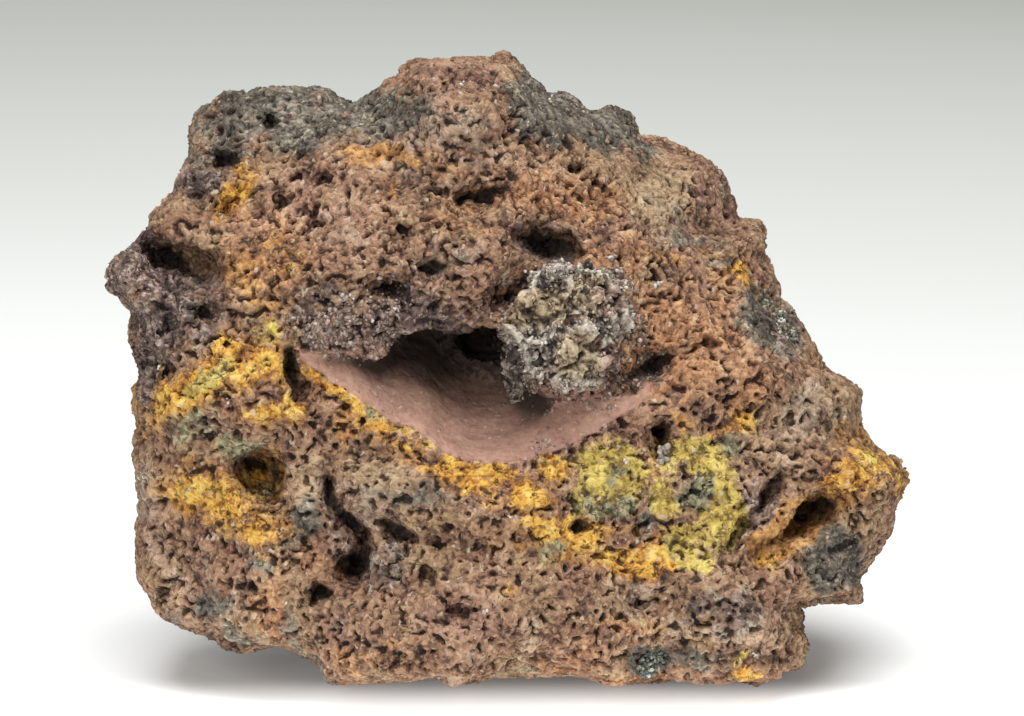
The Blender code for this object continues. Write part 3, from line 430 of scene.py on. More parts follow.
def scrambled(x, y, z, seed):
    """A whole number for each lattice cell, without any order."""
    mix = x * np.uint32(0x8DA6B343) ^ y * np.uint32(0xD8163841) ^ z * np.uint32(0xCB1AB31F)
    mix = (mix ^ np.uint32(seed * 7919)) * np.uint32(0x9E3779B1)
    mix ^= mix >> np.uint32(15)
    mix *= np.uint32(0x85EBCA77)
    return mix ^ (mix >> np.uint32(13))


def three_parts(number):
    """Three shares from 0 to 1 out of each whole number."""
    return [((number >> np.uint32(shift)) & np.uint32(1023)) / np.float32(1023) for shift in (0, 10, 20)]


def waves(points, size, seed, octaves=1, folded=False):
    """Smooth noise from about -1 to 1 whose features are size across, or lumps parted by creases."""
    total = np.zeros(len(points), np.float32)
    for octave in range(octaves):
        places = points.astype(np.float32) * np.float32(2 ** octave / size) + np.float32(31.7 * octave)
        base = np.floor(places)
        inner = places - base
        fade = inner ** 3 * (inner * (inner * 6 - 15) + 10)
        x, y, z = base.astype(np.int32).astype(np.uint32).T
        level = np.zeros(len(points), np.float32)
        for corner in range(8):
            step = np.array((corner & 1, corner >> 1 & 1, corner >> 2 & 1))
            grads = three_parts(scrambled(x + step[0].astype(np.uint32), y + step[1].astype(np.uint32),
                                          z + step[2].astype(np.uint32), seed))
            weight = np.ones(len(points), np.float32)
            lean = np.zeros(len(points), np.float32)
            for axis in range(3):
                weight *= fade[:, axis] if step[axis] else 1 - fade[:, axis]
                lean += (grads[axis] * 2 - 1) * (inner[:, axis] - step[axis])
            level += weight * lean
        total += 0.5 ** octave * (np.abs(level) if folded else level)
    return WAVE_SCALE * total.astype(np.float64)


WAVE_SCALE = 1.4


def cells(points, size, seed):
    """Distance to the nearest cell middle and to the next, in cell sizes, and a number for each cell."""
    places = (points / size).astype(np.float32)
    base = np.floor(places)
    inner = places - base
    x, y, z = base.astype(np.int32).astype(np.uint32).T
    nearest = np.full(len(points), 9.0, np.float32)
    second = np.full(len(points), 9.0, np.float32)
    own = np.zeros(len(points), np.float32)
    for dx in (-1, 0, 1):
        for dy in (-1, 0, 1):
            for dz in (-1, 0, 1):
                number = scrambled(x + np.uint32(dx % 2 ** 32), y + np.uint32(dy % 2 ** 32),
                                   z + np.uint32(dz % 2 ** 32), seed)
                one, two, three = three_parts(number)
                away = (inner[:, 0] - dx - one) ** 2 + (inner[:, 1] - dy - two) ** 2
                away = np.sqrt(away + (inner[:, 2] - dz - three) ** 2)
                closer = away < nearest
                second = np.where(closer, nearest, np.minimum(second, away))
                nearest = np.where(closer, away, nearest)
                own = np.where(closer, (number >> np.uint32(8) & np.uint32(4095)) / np.float32(4095), own)
    return nearest, second, own


def sway(places, size, seeds, octaves=2):
    """Smooth noise along as many axes as there are seeds."""
    return np.column_stack([waves(places, size, seed, octaves) for seed in seeds])


def turned(points, middle, half, turn):
    """How far each (across, up) point is from the middle of a turned ellipse, in its half sizes."""
    angle = math.radians(turn)
    across = points[:, 0] - middle[0]
    up = points[:, 1] - middle[1]
    along = across * math.cos(angle) + up * math.sin(angle)
    over = up * math.cos(angle) - across * math.sin(angle)
    return np.hypot(along / half[0], over / half[1])


# ---------------------------------------------------------------- meshes

def points_of(mesh):
    """The mesh's points, in metres."""
    flat = np.empty(len(mesh.vertices) * 3, np.float32)
    mesh.vertices.foreach_get("co", flat)
    return flat.reshape(-1, 3).astype(np.float64)


def normals_of(mesh):
    """The way the mesh faces at each point."""
    flat = np.empty(len(mesh.vertices) * 3, np.float32)
    mesh.vertices.foreach_get("normal", flat)
    return flat.reshape(-1, 3).astype(np.float64)


def set_points(mesh, points):
    """Moves the mesh's points, given in metres."""
    mesh.vertices.foreach_set("co", points.astype(np.float32).ravel())
    mesh.update()


def edges_of(mesh):
    """The two points of each edge, by number."""
    flat = np.empty(len(mesh.edges) * 2, np.int32)
    mesh.edges.foreach_get("vertices", flat)
    return flat.reshape(-1, 2)


def evened(values, edges, rounds):
    """Columns of values, each evened out with its neighbours along the edges."""
    count = len(values)
    near = np.bincount(edges.ravel(), minlength=count)[:, None]
    for _ in range(rounds):
        total = np.empty_like(values)
        for column in range(values.shape[1]):
            row = values[:, column]
            total[:, column] = np.bincount(edges[:, 0], row[edges[:, 1]], count)
            total[:, column] += np.bincount(edges[:, 1], row[edges[:, 0]], count)
        values = 0.5 * values + 0.5 * total / near
    return values


def apply(obj, kind, **settings):
    """Adds a modifier and applies it."""
    modifier = obj.modifiers.new(kind.lower(), kind)
    for name, value in settings.items():
        setattr(modifier, name, value)
    bpy.context.view_layer.objects.active = obj
    bpy.ops.object.modifier_apply(modifier=modifier.name)


def group_of(obj, name, weights):
    """A vertex group that holds the vertices whose weight is above a half."""
    group = obj.vertex_groups.new(name=name)
    group.add(np.nonzero(weights > 0.5)[0].tolist(), 1.0, "REPLACE")
    return group


def face_places(points):
    """Millimetres across, back and up of the broad face, for points in metres."""
    x, y, z = (points / MM).T
    back = y * LEAN_COS - z * LEAN_SIN
    up = y * LEAN_SIN + z * LEAN_COS - FACE_MIDDLE
    return np.column_stack((x, back, up))


def from_face(places):
    """Points in metres, for millimetres across, back and up of the broad face."""
    across, back, up = places.T
    up = up + FACE_MIDDLE
    return np.column_stack((across, back * LEAN_COS + up * LEAN_SIN, up * LEAN_COS - back * LEAN_SIN)) * MM


def middle_of_outline():
    """How high the middle of the stone's outline is, looking straight at the broad face."""
    points = points_of(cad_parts["gossan_rock"].data) / MM
    up = points[:, 1] * LEAN_SIN + points[:, 2] * LEAN_COS
    return (up.max() + up.min()) / 2


FACE_MIDDLE = middle_of_outline()
INTO_FACE = np.array((0.0, LEAN_COS, -LEAN_SIN))


def shape_tree(obj):
    """The piece's faces, ready to be searched."""
    graph = bpy.context.evaluated_depsgraph_get()
    return BVHTree.FromObject(obj, graph)


def on_face(tree, place):
    """Where a line into the broad face at (across, up) first meets the stone, and the way it faces."""
    start = Vector(from_face(np.array([(place[0], -100.0, place[1])]))[0])
    hit, normal, _, _ = tree.ray_cast(start, Vector(INTO_FACE))
    return hit, normal


# ---------------------------------------------------------------- the stone

def stone_from(node):
    """A merged copy of a CAD node's mesh as a new object."""
    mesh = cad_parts[node].data.copy()
    work = bmesh.new()
    work.from_mesh(mesh)
    bmesh.ops.remove_doubles(work, verts=work.verts, dist=0.01 * MM)
    work.to_mesh(mesh)
    work.free()
    mesh.materials.clear()
    obj = bpy.data.objects.new("gossan", mesh)
    bpy.context.scene.collection.objects.link(obj)
    return obj


def open_pits(obj):
    """Sinks the vugs, slits and pits straight into the face, with ragged edges."""
    mesh = obj.data
    points = points_of(mesh)
    places = face_places(points)
    flat = places[:, (0, 2)] + sway(places, 1.9, (3, 4), 3) * PIT_EDGE_WAVE
    tree = shape_tree(obj)
    sunk = np.zeros(len(points))
    for _, middle, half, turn, depth in PITS:
        hit, _ = on_face(tree, middle)
        if hit is None:
            continue
        level = face_places(np.array([hit]))[0, 1]
        distance = turned(flat, middle, half, turn)
        near = (distance < 1.4) & (np.abs(places[:, 1] - level) < depth + 2.5)
        amount = depth * (1 - step_up(0.72, 1.12, distance))
        sunk = np.maximum(sunk, np.where(near, amount, 0.0))
    set_points(mesh, points + sunk[:, None] * INTO_FACE * MM)


def above(line, places):
    """Millimetres above a line across the face."""
    line = np.array(line)
    return places[:, 2] - np.interp(places[:, 0], line[:, 0], line[:, 1])


def floor_level(places):
    """How far back the main hollow's floor lies at each point's across and up."""
    aside = places[:, 0] - SKIN_MIDDLE
    skin = SKIN_LEVEL + np.where(aside < 0, SKIN_LEFT, SKIN_RIGHT) * aside ** 2
    slope = np.array(HOLLOW_SLOPE)
    run = np.interp(places[:, 0], slope[:, 0], slope[:, 1])
    height = above(HOLLOW_LIP, places)
    return skin + 0.5 + run * np.maximum(height, 0) ** 1.05 - 0.12 * np.minimum(height, 0)


def in_hollow(places):
    """1 for points inside the main hollow, on its floor or behind it."""
    outline = 1 - step_up(1.0, 1.12, turned(places[:, (0, 2)], *HOLLOW))
    before_back = step_up(3.0, 0.5, places[:, 1])
    return outline * before_back * step_up(-1.3, -0.6, places[:, 1] - floor_level(places))


def fit_outline(obj):
    """Draws the stone's edge out or in, so that its outline from the front is the real one."""
    points = points_of(obj.data)
    places = face_places(points)
    scale = VIEW_DISTANCE / (VIEW_DISTANCE + places[:, 1] - FACE_DEPTH)
    across, up = places[:, 0] * scale, places[:, 2] * scale
    angle = np.degrees(np.arctan2(up, across)) % 360
    out = np.hypot(across, up)
    count = len(OUTLINE)
    own = np.zeros(count)
    np.maximum.at(own, (angle / OUTLINE_STEP + 0.5).astype(int) % count, out)
    steps = np.arange(count + 1) * OUTLINE_STEP
    reach = np.interp(angle, steps, np.append(own, own[0]))
    wanted = np.array(OUTLINE) - OUTLINE_INSET
    wanted = np.interp(angle, steps, np.append(wanted, wanted[0]))
    grown = out + (wanted - reach) * step_up(OUTLINE_START, 1.0, out / reach)
    # an edge that lies too far out is only pressed in, so that what is inside the outline stays
    start = PRESSED_START * wanted
    pressed = start + (out - start) * (wanted - start) / np.maximum(reach - start, 0.1)
    pressed = np.where(out > start, np.minimum(pressed, out), out)
    factor = np.where(reach < wanted, grown, pressed) / np.maximum(out, 0.001)
    places[:, 0] *= factor
    places[:, 2] *= factor
    points = from_face(places)
    points[:, 2] = np.maximum(points[:, 2], 0.0)
    set_points(obj.data, points)


def lay_mass(obj, corners, level, depth):
    """Joins a block to the stone whose near side lies at a level given by (across, up)."""
    (left, low), (right, high) = corners
    bpy.ops.object.select_all(action="DESELECT")
    bpy.ops.mesh.primitive_grid_add(x_subdivisions=96, y_subdivisions=48, size=1.0)
    mass = bpy.context.object
    flat = points_of(mass.data) + 0.5
    across, up = left + flat[:, 0] * (right - left), low + flat[:, 1] * (high - low)
    places = np.column_stack((across, np.zeros(len(flat)), up))
    places[:, 1] = level(places)
    set_points(mass.data, from_face(places))
    bpy.ops.object.mode_set(mode="EDIT")
    bpy.ops.mesh.select_all(action="SELECT")
    bpy.ops.mesh.extrude_region_move(TRANSFORM_OT_translate={"value": INTO_FACE * depth * MM})
    bpy.ops.mesh.select_all(action="SELECT")
    bpy.ops.mesh.normals_make_consistent(inside=False)
    bpy.ops.object.mode_set(mode="OBJECT")
    obj.select_set(True)
    bpy.context.view_layer.objects.active = obj
    bpy.ops.object.join()


def shape_hollow(obj):
    """Gives the main hollow's floor its real slope, and hangs the brow lower over its left end."""
    def floor(places):
        outside = step_up(1.0, 1.16, turned(places[:, (0, 2)], *HOLLOW))
        return floor_level(places) + 3.0 * outside

    def brow(places):
        hang = above(HOLLOW_BROW, places) + 0.5 * waves(places, 1.8, 15, 2)
        under = step_up(2.6, -0.1, hang)
        ends = step_up(BROW_LEFT, BROW_LEFT + 1, places[:, 0])
        ends = ends * step_up(BROW_RIGHT, BROW_RIGHT - 1.5, places[:, 0])
        level = BROW_LEVEL + 0.2 * waves(places, 3.0, 16, 2) + 1.2 * under
        return level + 9 * step_up(0.2, -0.3, hang) + 2.5 * (1 - ends)

    lay_mass(obj, ((-28.0, -14.0), (19.0, 8.0)), floor, 12)
    lay_mass(obj, ((BROW_LEFT - 0.5, 0.3), (BROW_RIGHT + 0.5, 7.0)), brow, 8)


def zone_masks(points):
    """Each mineral's share at each point, from 0 to 1, and the floor's mask and the masks of painted shade
    and painted shadow.
    """
    places = face_places(points)
    warp = sway(places, 5.0, (21, 22))
    flat = places[:, (0, 2)] + warp * 1.5
    on_front = 1 - step_up(ZONE_BACK_START, ZONE_BACK_END, places[:, 1])
    masks = {}
    front, rear = on_front > 0, on_front < 1
    shown = flat[front]
    for mineral, patches in ZONES.items():
        most = np.zeros(len(shown))
        for middle, half, turn, strength in patches:
            most = np.maximum(most, strength * (1 - step_up(0.45, 1.55, turned(shown, middle, half, turn))))
        mask = np.zeros(len(points))
        mask[front] = most * on_front[front]
        size, edge, seed = BACK_ZONES[mineral]
        level = waves(places[rear], size, seed, 3)
        mask[rear] += step_up(edge - 0.16, edge + 0.16, level) * (1 - on_front[rear])
        masks[mineral] = mask
    height = above(HOLLOW_LIP, places) + 0.4 * waves(places, 2.0, 82, 2)
    below = -above(HOLLOW_BROW, places)
    inside = in_hollow(places) * step_up(-0.5, 0.4, height) * step_up(-1.2, -0.2, below)
    # An ochre rim runs just under the lip
    rim = step_up(-2.8, -1.0, height) * step_up(0.3, -0.2, height) * (places[:, 1] < -15)
    rim *= np.interp(places[:, 0], *OCHRE_RIM)
    masks["ochre"] = np.maximum(masks["ochre"], rim)
    # Painted shadow: the floor and walls are darkened towards the brow, most where the hollow is deepest
    reach = np.interp(places[:, 0], *BROW_SHADOW_REACH)
    sunk = step_up(2.0, 5.0, places[:, 1] - SKIN_LEVEL) * (places[:, 1] < 2)
    sunk = sunk * step_up(-24.5, -23, places[:, 0])
    # painted shade, near black, inside the deepest vugs and cracks
    deep = np.zeros(len(points))
    near = places[front][:, (0, 2)] + warp[front] * 0.5
    for middle, half, turn in BLACK:
        share = 1 - step_up(0.7, 1.3, turned(near, middle, half, turn))
        deep[front] = np.maximum(deep[front], 0.9 * share)
    for mineral in masks:
        masks[mineral] = masks[mineral] * (1 - inside)
    masks["mauve"] = np.maximum(masks["mauve"], inside)
    masks["floor"] = inside
    masks["deep"] = deep
    masks["brow_shadow_gate"] = sunk * step_up(-2.2, -0.6, below) * step_up(8.0, 5.0, places[:, 0])
    masks["under_brow"] = np.clip(below / reach, -1, 3)
    return masks


def chunks(places, size, seed, step, crevice):
    """Broken lumps: each cell stands out or back by its own step, with a crevice round some of them."""
    shift = sway(places, size, (seed, seed + 1, seed + 2))
    nearest, second, own = cells(places + 0.35 * size * shift, size, seed)
    gap = 1 - step_up(0.03, 0.20, second - nearest)
    open_here = step_up(-0.15, 0.25, waves(places, 3.0 * size, seed + 5))
    return step * (own - 0.5) * (1 - gap) - crevice * gap * open_here


def smooth_floor(obj):
    """Evens out the main hollow's floor more than the rest."""
    points = points_of(obj.data)
    places = face_places(points)
    inside = (in_hollow(places) * step_up(-0.3, 1.0, above(HOLLOW_LIP, places)))[:, None]
    smoother = evened(points, edges_of(obj.data), FLOOR_ROUNDS)
    set_points(obj.data, points + (smoother - points) * inside)


def layer(name, places, octaves, fold=0.0):
    """One layer of the skin's relief; a folded one stands in lumps about its fold's level."""
    height, size, seed = RELIEF[name]
    return height * (waves(places, size, seed, octaves, folded=fold > 0) - fold)


def roughen(obj):
    """Broken lumps, ragged pores, ribs and grain on the skin, less of them on the hollow's floor."""
    mesh = obj.data
    places = points_of(mesh) / MM
    masks = zone_masks(places * MM)
    plain = np.maximum(step_up(0.3, 0.8, masks["floor"]), 0.3 * step_up(0.5, 0.9, masks["tan"]))
    plain = np.maximum(plain, 0.12 * step_up(0.6, 0.9, masks["grey"]))
    rough = 1 - 0.93 * plain
    front = face_places(places * MM)
    calm = np.max([1 - step_up(0.6, 1.4, turned(front[:, (0, 2)], *patch)) for patch in CALM], axis=0)
    calm = np.maximum(calm * (front[:, 1] < 5), 0.55 * step_up(-0.1, 0.4, waves(places, 14.0, 57, 2)))
    calm = np.maximum(calm, 0.8 * step_up(0.3, 0.7, masks["sulphur"]))
    lumpy = rough * (1 - 0.72 * calm)
    beady = step_up(0.4, 0.8, np.maximum(masks["ochre"], masks["sulphur"]))
    bent = places + 0.6 * sway(places, 2.6, (91, 92, 93))

    crumbly = 0.25 + 0.75 * step_up(-0.45, 0.35, waves(places, 5.0, 54, 2))
    out = 0.15 * rough + layer("swell", places, 3) * (0.2 + 0.8 * rough)
    out += layer("lumps", bent, 3, 0.38) * lumpy
    out += chunks(bent, *CHUNKS) * lumpy
    out += layer("nubs", bent, 3) * rough
    out += layer("ribs", bent, 2, 0.36) * rough * crumbly
    stretched = bent * (0.6, 1.0, 1.0)
    open_here = step_up(-0.3, 0.25, waves(places, 6.0, 72, 2))
    depth, size, seed, rim, full = WIDE_PORES
    gaps = step_up(rim, full, waves(stretched, size, seed, 2)) * open_here
    out -= depth * gaps * rough * (1 - 0.5 * beady) * (1 - 0.35 * calm)
    depth, size, seed, rim, full = FINE_PORES
    gaps = step_up(rim, full, waves(bent, size, seed, 1)) * step_up(-0.5, 0.0, waves(places, 4.0, 74, 1))
    out -= depth * gaps * rough * (1 - 0.5 * beady)
    out += layer("grain", places, 2) * (0.30 + 0.70 * rough)
    out += layer("floor ripple", places, 2) * (1 - rough)
    set_points(mesh, points_of(mesh) + out[:, None] * MM * normals_of(mesh))


def add_beads(obj):
    """Swells the skin into rounded ochre beads."""
    mesh = obj.data
    points = points_of(mesh)
    tree = shape_tree(obj)
    for middle, radius in BEADS:
        hit, normal = on_face(tree, middle)
        if hit is None:
            continue
        centre = np.array(hit) - np.array(normal) * 0.15 * radius * MM
        away = points - centre
        distance = np.linalg.norm(away, axis=1) / (radius * MM)
        near = distance < 1.0
        lift = np.sqrt(np.clip(1 - distance[near] ** 2, 0, 1)) * 0.55 * radius * MM
        points[near] += np.array(normal) * lift[:, None]
    set_points(mesh, points)


def note(mesh, name, values):
    """Stores a number for each vertex, which the materials read by name."""
    mesh.attributes.new(name, "FLOAT", "POINT").data.foreach_set("value", values.astype(np.float32))


def mark_skin(obj):
    """Stores the minerals' shares, the masks of painted shade and painted shadow, and how deep in a pit
    each point is.
    """
    mesh = obj.data
    points = points_of(mesh)
    for mineral, mask in zone_masks(points).items():
        note(mesh, mineral, mask)
    edges = edges_of(mesh)
    normals = normals_of(mesh)
    normals = evened(normals, edges, 12)
    # how far each point is sunk below its evened neighbours, in small pits and broad hollows; the stone's
    # material darkens both as painted shade
    for name, rounds, scale in (("pitted", 10, 0.20), ("hollowed", 90, 1.3)):
        level = evened(points, edges, rounds)
        depth = np.einsum("ij,ij->i", level - points, normals) / MM
        note(mesh, name, np.clip(depth / scale, -1, 1))


def parted(obj, name, cuts):
    """A closed copy of the part of the stone on the far side of each cut, as (point, direction)."""
    copy = obj.copy()
    copy.data = obj.data.copy()
    copy.name = name
    bpy.context.scene.collection.objects.link(copy)
    work = bmesh.new()
    work.from_mesh(copy.data)
    for point, away in cuts:
        parts = work.verts[:] + work.edges[:] + work.faces[:]
        made = bmesh.ops.bisect_plane(work, geom=parts, plane_co=point, plane_no=away, clear_inner=True)
        rim = [part for part in made["geom_cut"] if isinstance(part, bmesh.types.BMEdge)]
        near = -Vector(away)
        caps = bmesh.ops.triangle_fill(work, edges=rim, use_beauty=False, use_dissolve=False, normal=near)
        for part in caps["geom"]:
            if isinstance(part, bmesh.types.BMFace):
                part.smooth = False
    work.to_mesh(copy.data)
    work.free()
    return copy


def make_rock():
    """The stone's skin, as three parts of its face, none parted on the smooth floor, and the rest of it."""
    obj = stone_from("gossan_rock")
    apply(obj, "REMESH", mode="VOXEL", voxel_size=FIRST_VOXEL * MM)
    set_points(obj.data, evened(points_of(obj.data), edges_of(obj.data), FACET_ROUNDS))
    fit_outline(obj)
    shape_hollow(obj)
    apply(obj, "REMESH", mode="VOXEL", voxel_size=FIRST_VOXEL * MM)
    open_pits(obj)
    apply(obj, "REMESH", mode="VOXEL", voxel_size=SECOND_VOXEL * MM)
    set_points(obj.data, evened(points_of(obj.data), edges_of(obj.data), SECOND_ROUNDS))
    smooth_floor(obj)
    roughen(obj)
    add_beads(obj)
    points = points_of(obj.data)
    points[:, 2] = np.maximum(points[:, 2], 0.0)
    set_points(obj.data, points)

    behind = face_places(points)[:, 1] > PART_BACK + 0.5
    group_of(obj, "behind", behind.astype(float))
    faces = 2 * len(obj.data.polygons)
    kept = int(faces * (1 - behind.mean())) + BACK_TRIANGLES
    apply(obj, "DECIMATE", ratio=kept / faces, vertex_group="behind", vertex_group_factor=1000.0)
    faces = sum(len(p.vertices) - 2 for p in obj.data.polygons)
    apply(obj, "DECIMATE", ratio=(FACE_TRIANGLES + BACK_TRIANGLES) / faces)
    obj.vertex_groups.clear()
    obj.data.shade_smooth()
    mark_skin(obj)
    back, across, up = Vector(INTO_FACE), Vector((1, 0, 0)), Vector((0, LEAN_SIN, LEAN_COS))
    turn = Vector(from_face(np.array([(PART_ACROSS, PART_BACK, PART_UP)]))[0])
    pieces = [
        parted(obj, "gossan_face_low", [(turn, -back), (turn, -up)]),
        parted(obj, "gossan_face_left", [(turn, -back), (turn, up), (turn, -across)]),
        parted(obj, "gossan_face_right", [(turn, -back), (turn, up), (turn, across)]),
        parted(obj, "gossan_back", [(turn, back)]),
    ]
    bpy.data.objects.remove(obj)
    return pieces


# ---------------------------------------------------------------- crumbs

def crumb_shape(chance):
    """A broken block: a cube with pushed corners, as 8 points and 12 triangles."""
    corners = np.array([(x, y, z) for x in (-1, 1) for y in (-1, 1) for z in (-1, 1)], float) * 0.62
    corners += chance.uniform(-0.36, 0.36, corners.shape)
    corners *= chance.uniform(0.65, 1.25, 3)
    faces = np.array([
        (0, 1, 3), (0, 3, 2), (4, 6, 7), (4, 7, 5), (0, 4, 5), (0, 5, 1),
        (2, 3, 7), (2, 7, 6), (0, 2, 6), (0, 6, 4), (1, 5, 7), (1, 7, 3),
    ])
    return corners, faces


def random_turns(count, chance):
    """Rotation matrices that point every way."""
    q = chance.normal(size=(count, 4))
    w, x, y, z = (q / np.linalg.norm(q, axis=1)[:, None]).T
    rows = [
        1 - 2 * (y * y + z * z), 2 * (x * y - z * w), 2 * (x * z + y * w),
        2 * (x * y + z * w), 1 - 2 * (x * x + z * z), 2 * (y * z - x * w),
        2 * (x * z - y * w), 2 * (y * z + x * w), 1 - 2 * (x * x + y * y),
    ]
    return np.array(rows).T.reshape(-1, 3, 3)


def triangles_of(obj):
    """Corner points of each triangle, and each one's area and normal."""
    mesh = obj.data
    mesh.calc_loop_triangles()
    flat = np.empty(len(mesh.loop_triangles) * 3, np.int32)
    mesh.loop_triangles.foreach_get("vertices", flat)
    corners = points_of(mesh)[flat.reshape(-1, 3)]
    cross = np.cross(corners[:, 1] - corners[:, 0], corners[:, 2] - corners[:, 0])
    area = np.linalg.norm(cross, axis=1)
    return corners, area / 2, cross / np.maximum(area, 1e-15)[:, None]


def scattered(corners, weight, count, chance):
    """Points spread over triangles by weight, and the triangle that each is on."""
    share = np.cumsum(weight)
    chosen = np.searchsorted(share, chance.uniform(0, share[-1], count))
    one, two = chance.uniform(size=(2, count))
    fold = one + two > 1
    one[fold], two[fold] = 1 - one[fold], 1 - two[fold]
    corner = corners[chosen]
    places = corner[:, 0] + one[:, None] * (corner[:, 1] - corner[:, 0])
    return places + two[:, None] * (corner[:, 2] - corner[:, 0]), chosen


def joined(name, shapes, places, turns, sizes, chance):
    """One mesh of many small shapes, each at its place, turned and sized."""
    kinds = chance.integers(len(shapes), size=len(places))
    points, faces, owners, start = [], [], [], 0
    for kind, (corners, triangles) in enumerate(shapes):
        own = np.nonzero(kinds == kind)[0]
        made = np.einsum("nij,kj->nki", turns[own], corners) * sizes[own, None, None] + places[own, None, :]
        step = (np.arange(len(own)) * len(corners) + start)[:, None, None]
        points.append(made.reshape(-1, 3))
        faces.append((triangles[None] + step).reshape(-1, 3))
        owners.append(np.repeat(own, len(corners)))
        start += len(own) * len(corners)
    points, faces = np.concatenate(points), np.concatenate(faces)
    mesh = bpy.data.meshes.new(name)
    mesh.vertices.add(len(points))
    mesh.vertices.foreach_set("co", points.astype(np.float32).ravel())
    mesh.loops.add(faces.size)
    mesh.loops.foreach_set("vertex_index", faces.astype(np.int32).ravel())
    mesh.polygons.add(len(faces))
    mesh.polygons.foreach_set("loop_start", np.arange(0, faces.size, 3, dtype=np.int32))
    mesh.update(calc_edges=True)
    mesh.validate()
    obj = bpy.data.objects.new(name, mesh)
    bpy.context.scene.collection.objects.link(obj)
    return obj, np.concatenate(owners)


def make_crumbs(skin, masks, name, count, radii, seed, thickness):
    """Broken crumbs bedded in the skin where their minerals are, with the minerals' shares noted."""
    chance = np.random.default_rng(seed)
    corners, area, normals = skin
    middles = corners.mean(axis=1)
    weight = np.max([share * step_up(0.3, 0.6, masks[m]) for m, share in thickness.items()], axis=0)
    weight *= 1 - 0.985 * step_up(0.3, 0.7, masks["floor"])
    clumps = step_up(-0.35, 0.3, waves(middles / MM, 2.4, seed, 2))
    facing = step_up(-0.7, 0.1, -normals @ INTO_FACE)
    weight *= (0.15 + 0.85 * clumps) * (0.12 + 0.88 * facing) * area
    places, chosen = scattered(corners, weight, count, chance)
    radius = radii[0] + (radii[1] - radii[0]) * chance.uniform(size=count) ** 2.2
    shapes = [crumb_shape(chance) for _ in range(14)]
    places = places - normals[chosen] * (radius * chance.uniform(0.2, 0.6, count))[:, None] * MM
    places[:, 2] = np.maximum(places[:, 2], radius * 1.4 * MM)
    obj, owners = joined(name, shapes, places, random_turns(count, chance), radius * MM, chance)
    # the minerals' shares, with the masks of painted shade and painted shadow, as on the skin beneath
    for mineral, mask in zone_masks(places).items():
        note(obj.data, mineral, mask[owners])
    return obj


# ---------------------------------------------------------------- crystals

def crystal_shape(chance):
    """A six-sided crystal with a slanting point, as 13 points and 22 triangles."""
    length = chance.uniform(0.5, 1.3)
    angles = np.arange(6) * math.pi / 3 + chance.uniform(-0.12, 0.12, 6)
    ring = np.column_stack((np.cos(angles), np.sin(angles))) * chance.uniform(0.8, 1.1, (6, 1))
    slant = chance.uniform(-0.2, 0.2, 2)
    foot = np.column_stack((ring, np.full(6, -length)))
    shoulder = np.column_stack((ring * 0.94, length + ring @ slant))
    corners = np.vstack((foot, shoulder, [(*chance.uniform(-0.25, 0.25, 2), length + 0.85)]))
    faces = []
    for side in range(6):
        after = (side + 1) % 6
        faces += [(side, after, after + 6), (side, after + 6, side + 6), (side + 6, after + 6, 12)]
    faces += [(0, side + 1, side) for side in range(1, 5)]
    return corners, np.array(faces)


def standing(normals, tilt, chance):
    """Rotation matrices whose third axis points near each normal."""
    axis = normals + tilt * chance.normal(size=normals.shape)
    axis /= np.linalg.norm(axis, axis=1)[:, None]
    aside = np.cross(axis, chance.normal(size=normals.shape))
    aside /= np.linalg.norm(aside, axis=1)[:, None]
    return np.stack((aside, np.cross(axis, aside), axis), axis=2)


def druse_masks(points, name):
    """Where the druse is tan and where it is wine brown; nothing on the other crusts."""
    places = face_places(points)
    flat = places[:, (0, 2)] + 0.9 * sway(places, 2.4, (64, 65))
    masks = {label: np.zeros(len(points)) for label in DRUSE_TONES}
    if name == "druse":
        for label, patches in DRUSE_TONES.items():
            for middle, half, turn, strength in patches:
                share = strength * (1 - step_up(0.6, 1.2, turned(flat, middle, half, turn)))
                masks[label] = np.maximum(masks[label], share)
    return masks


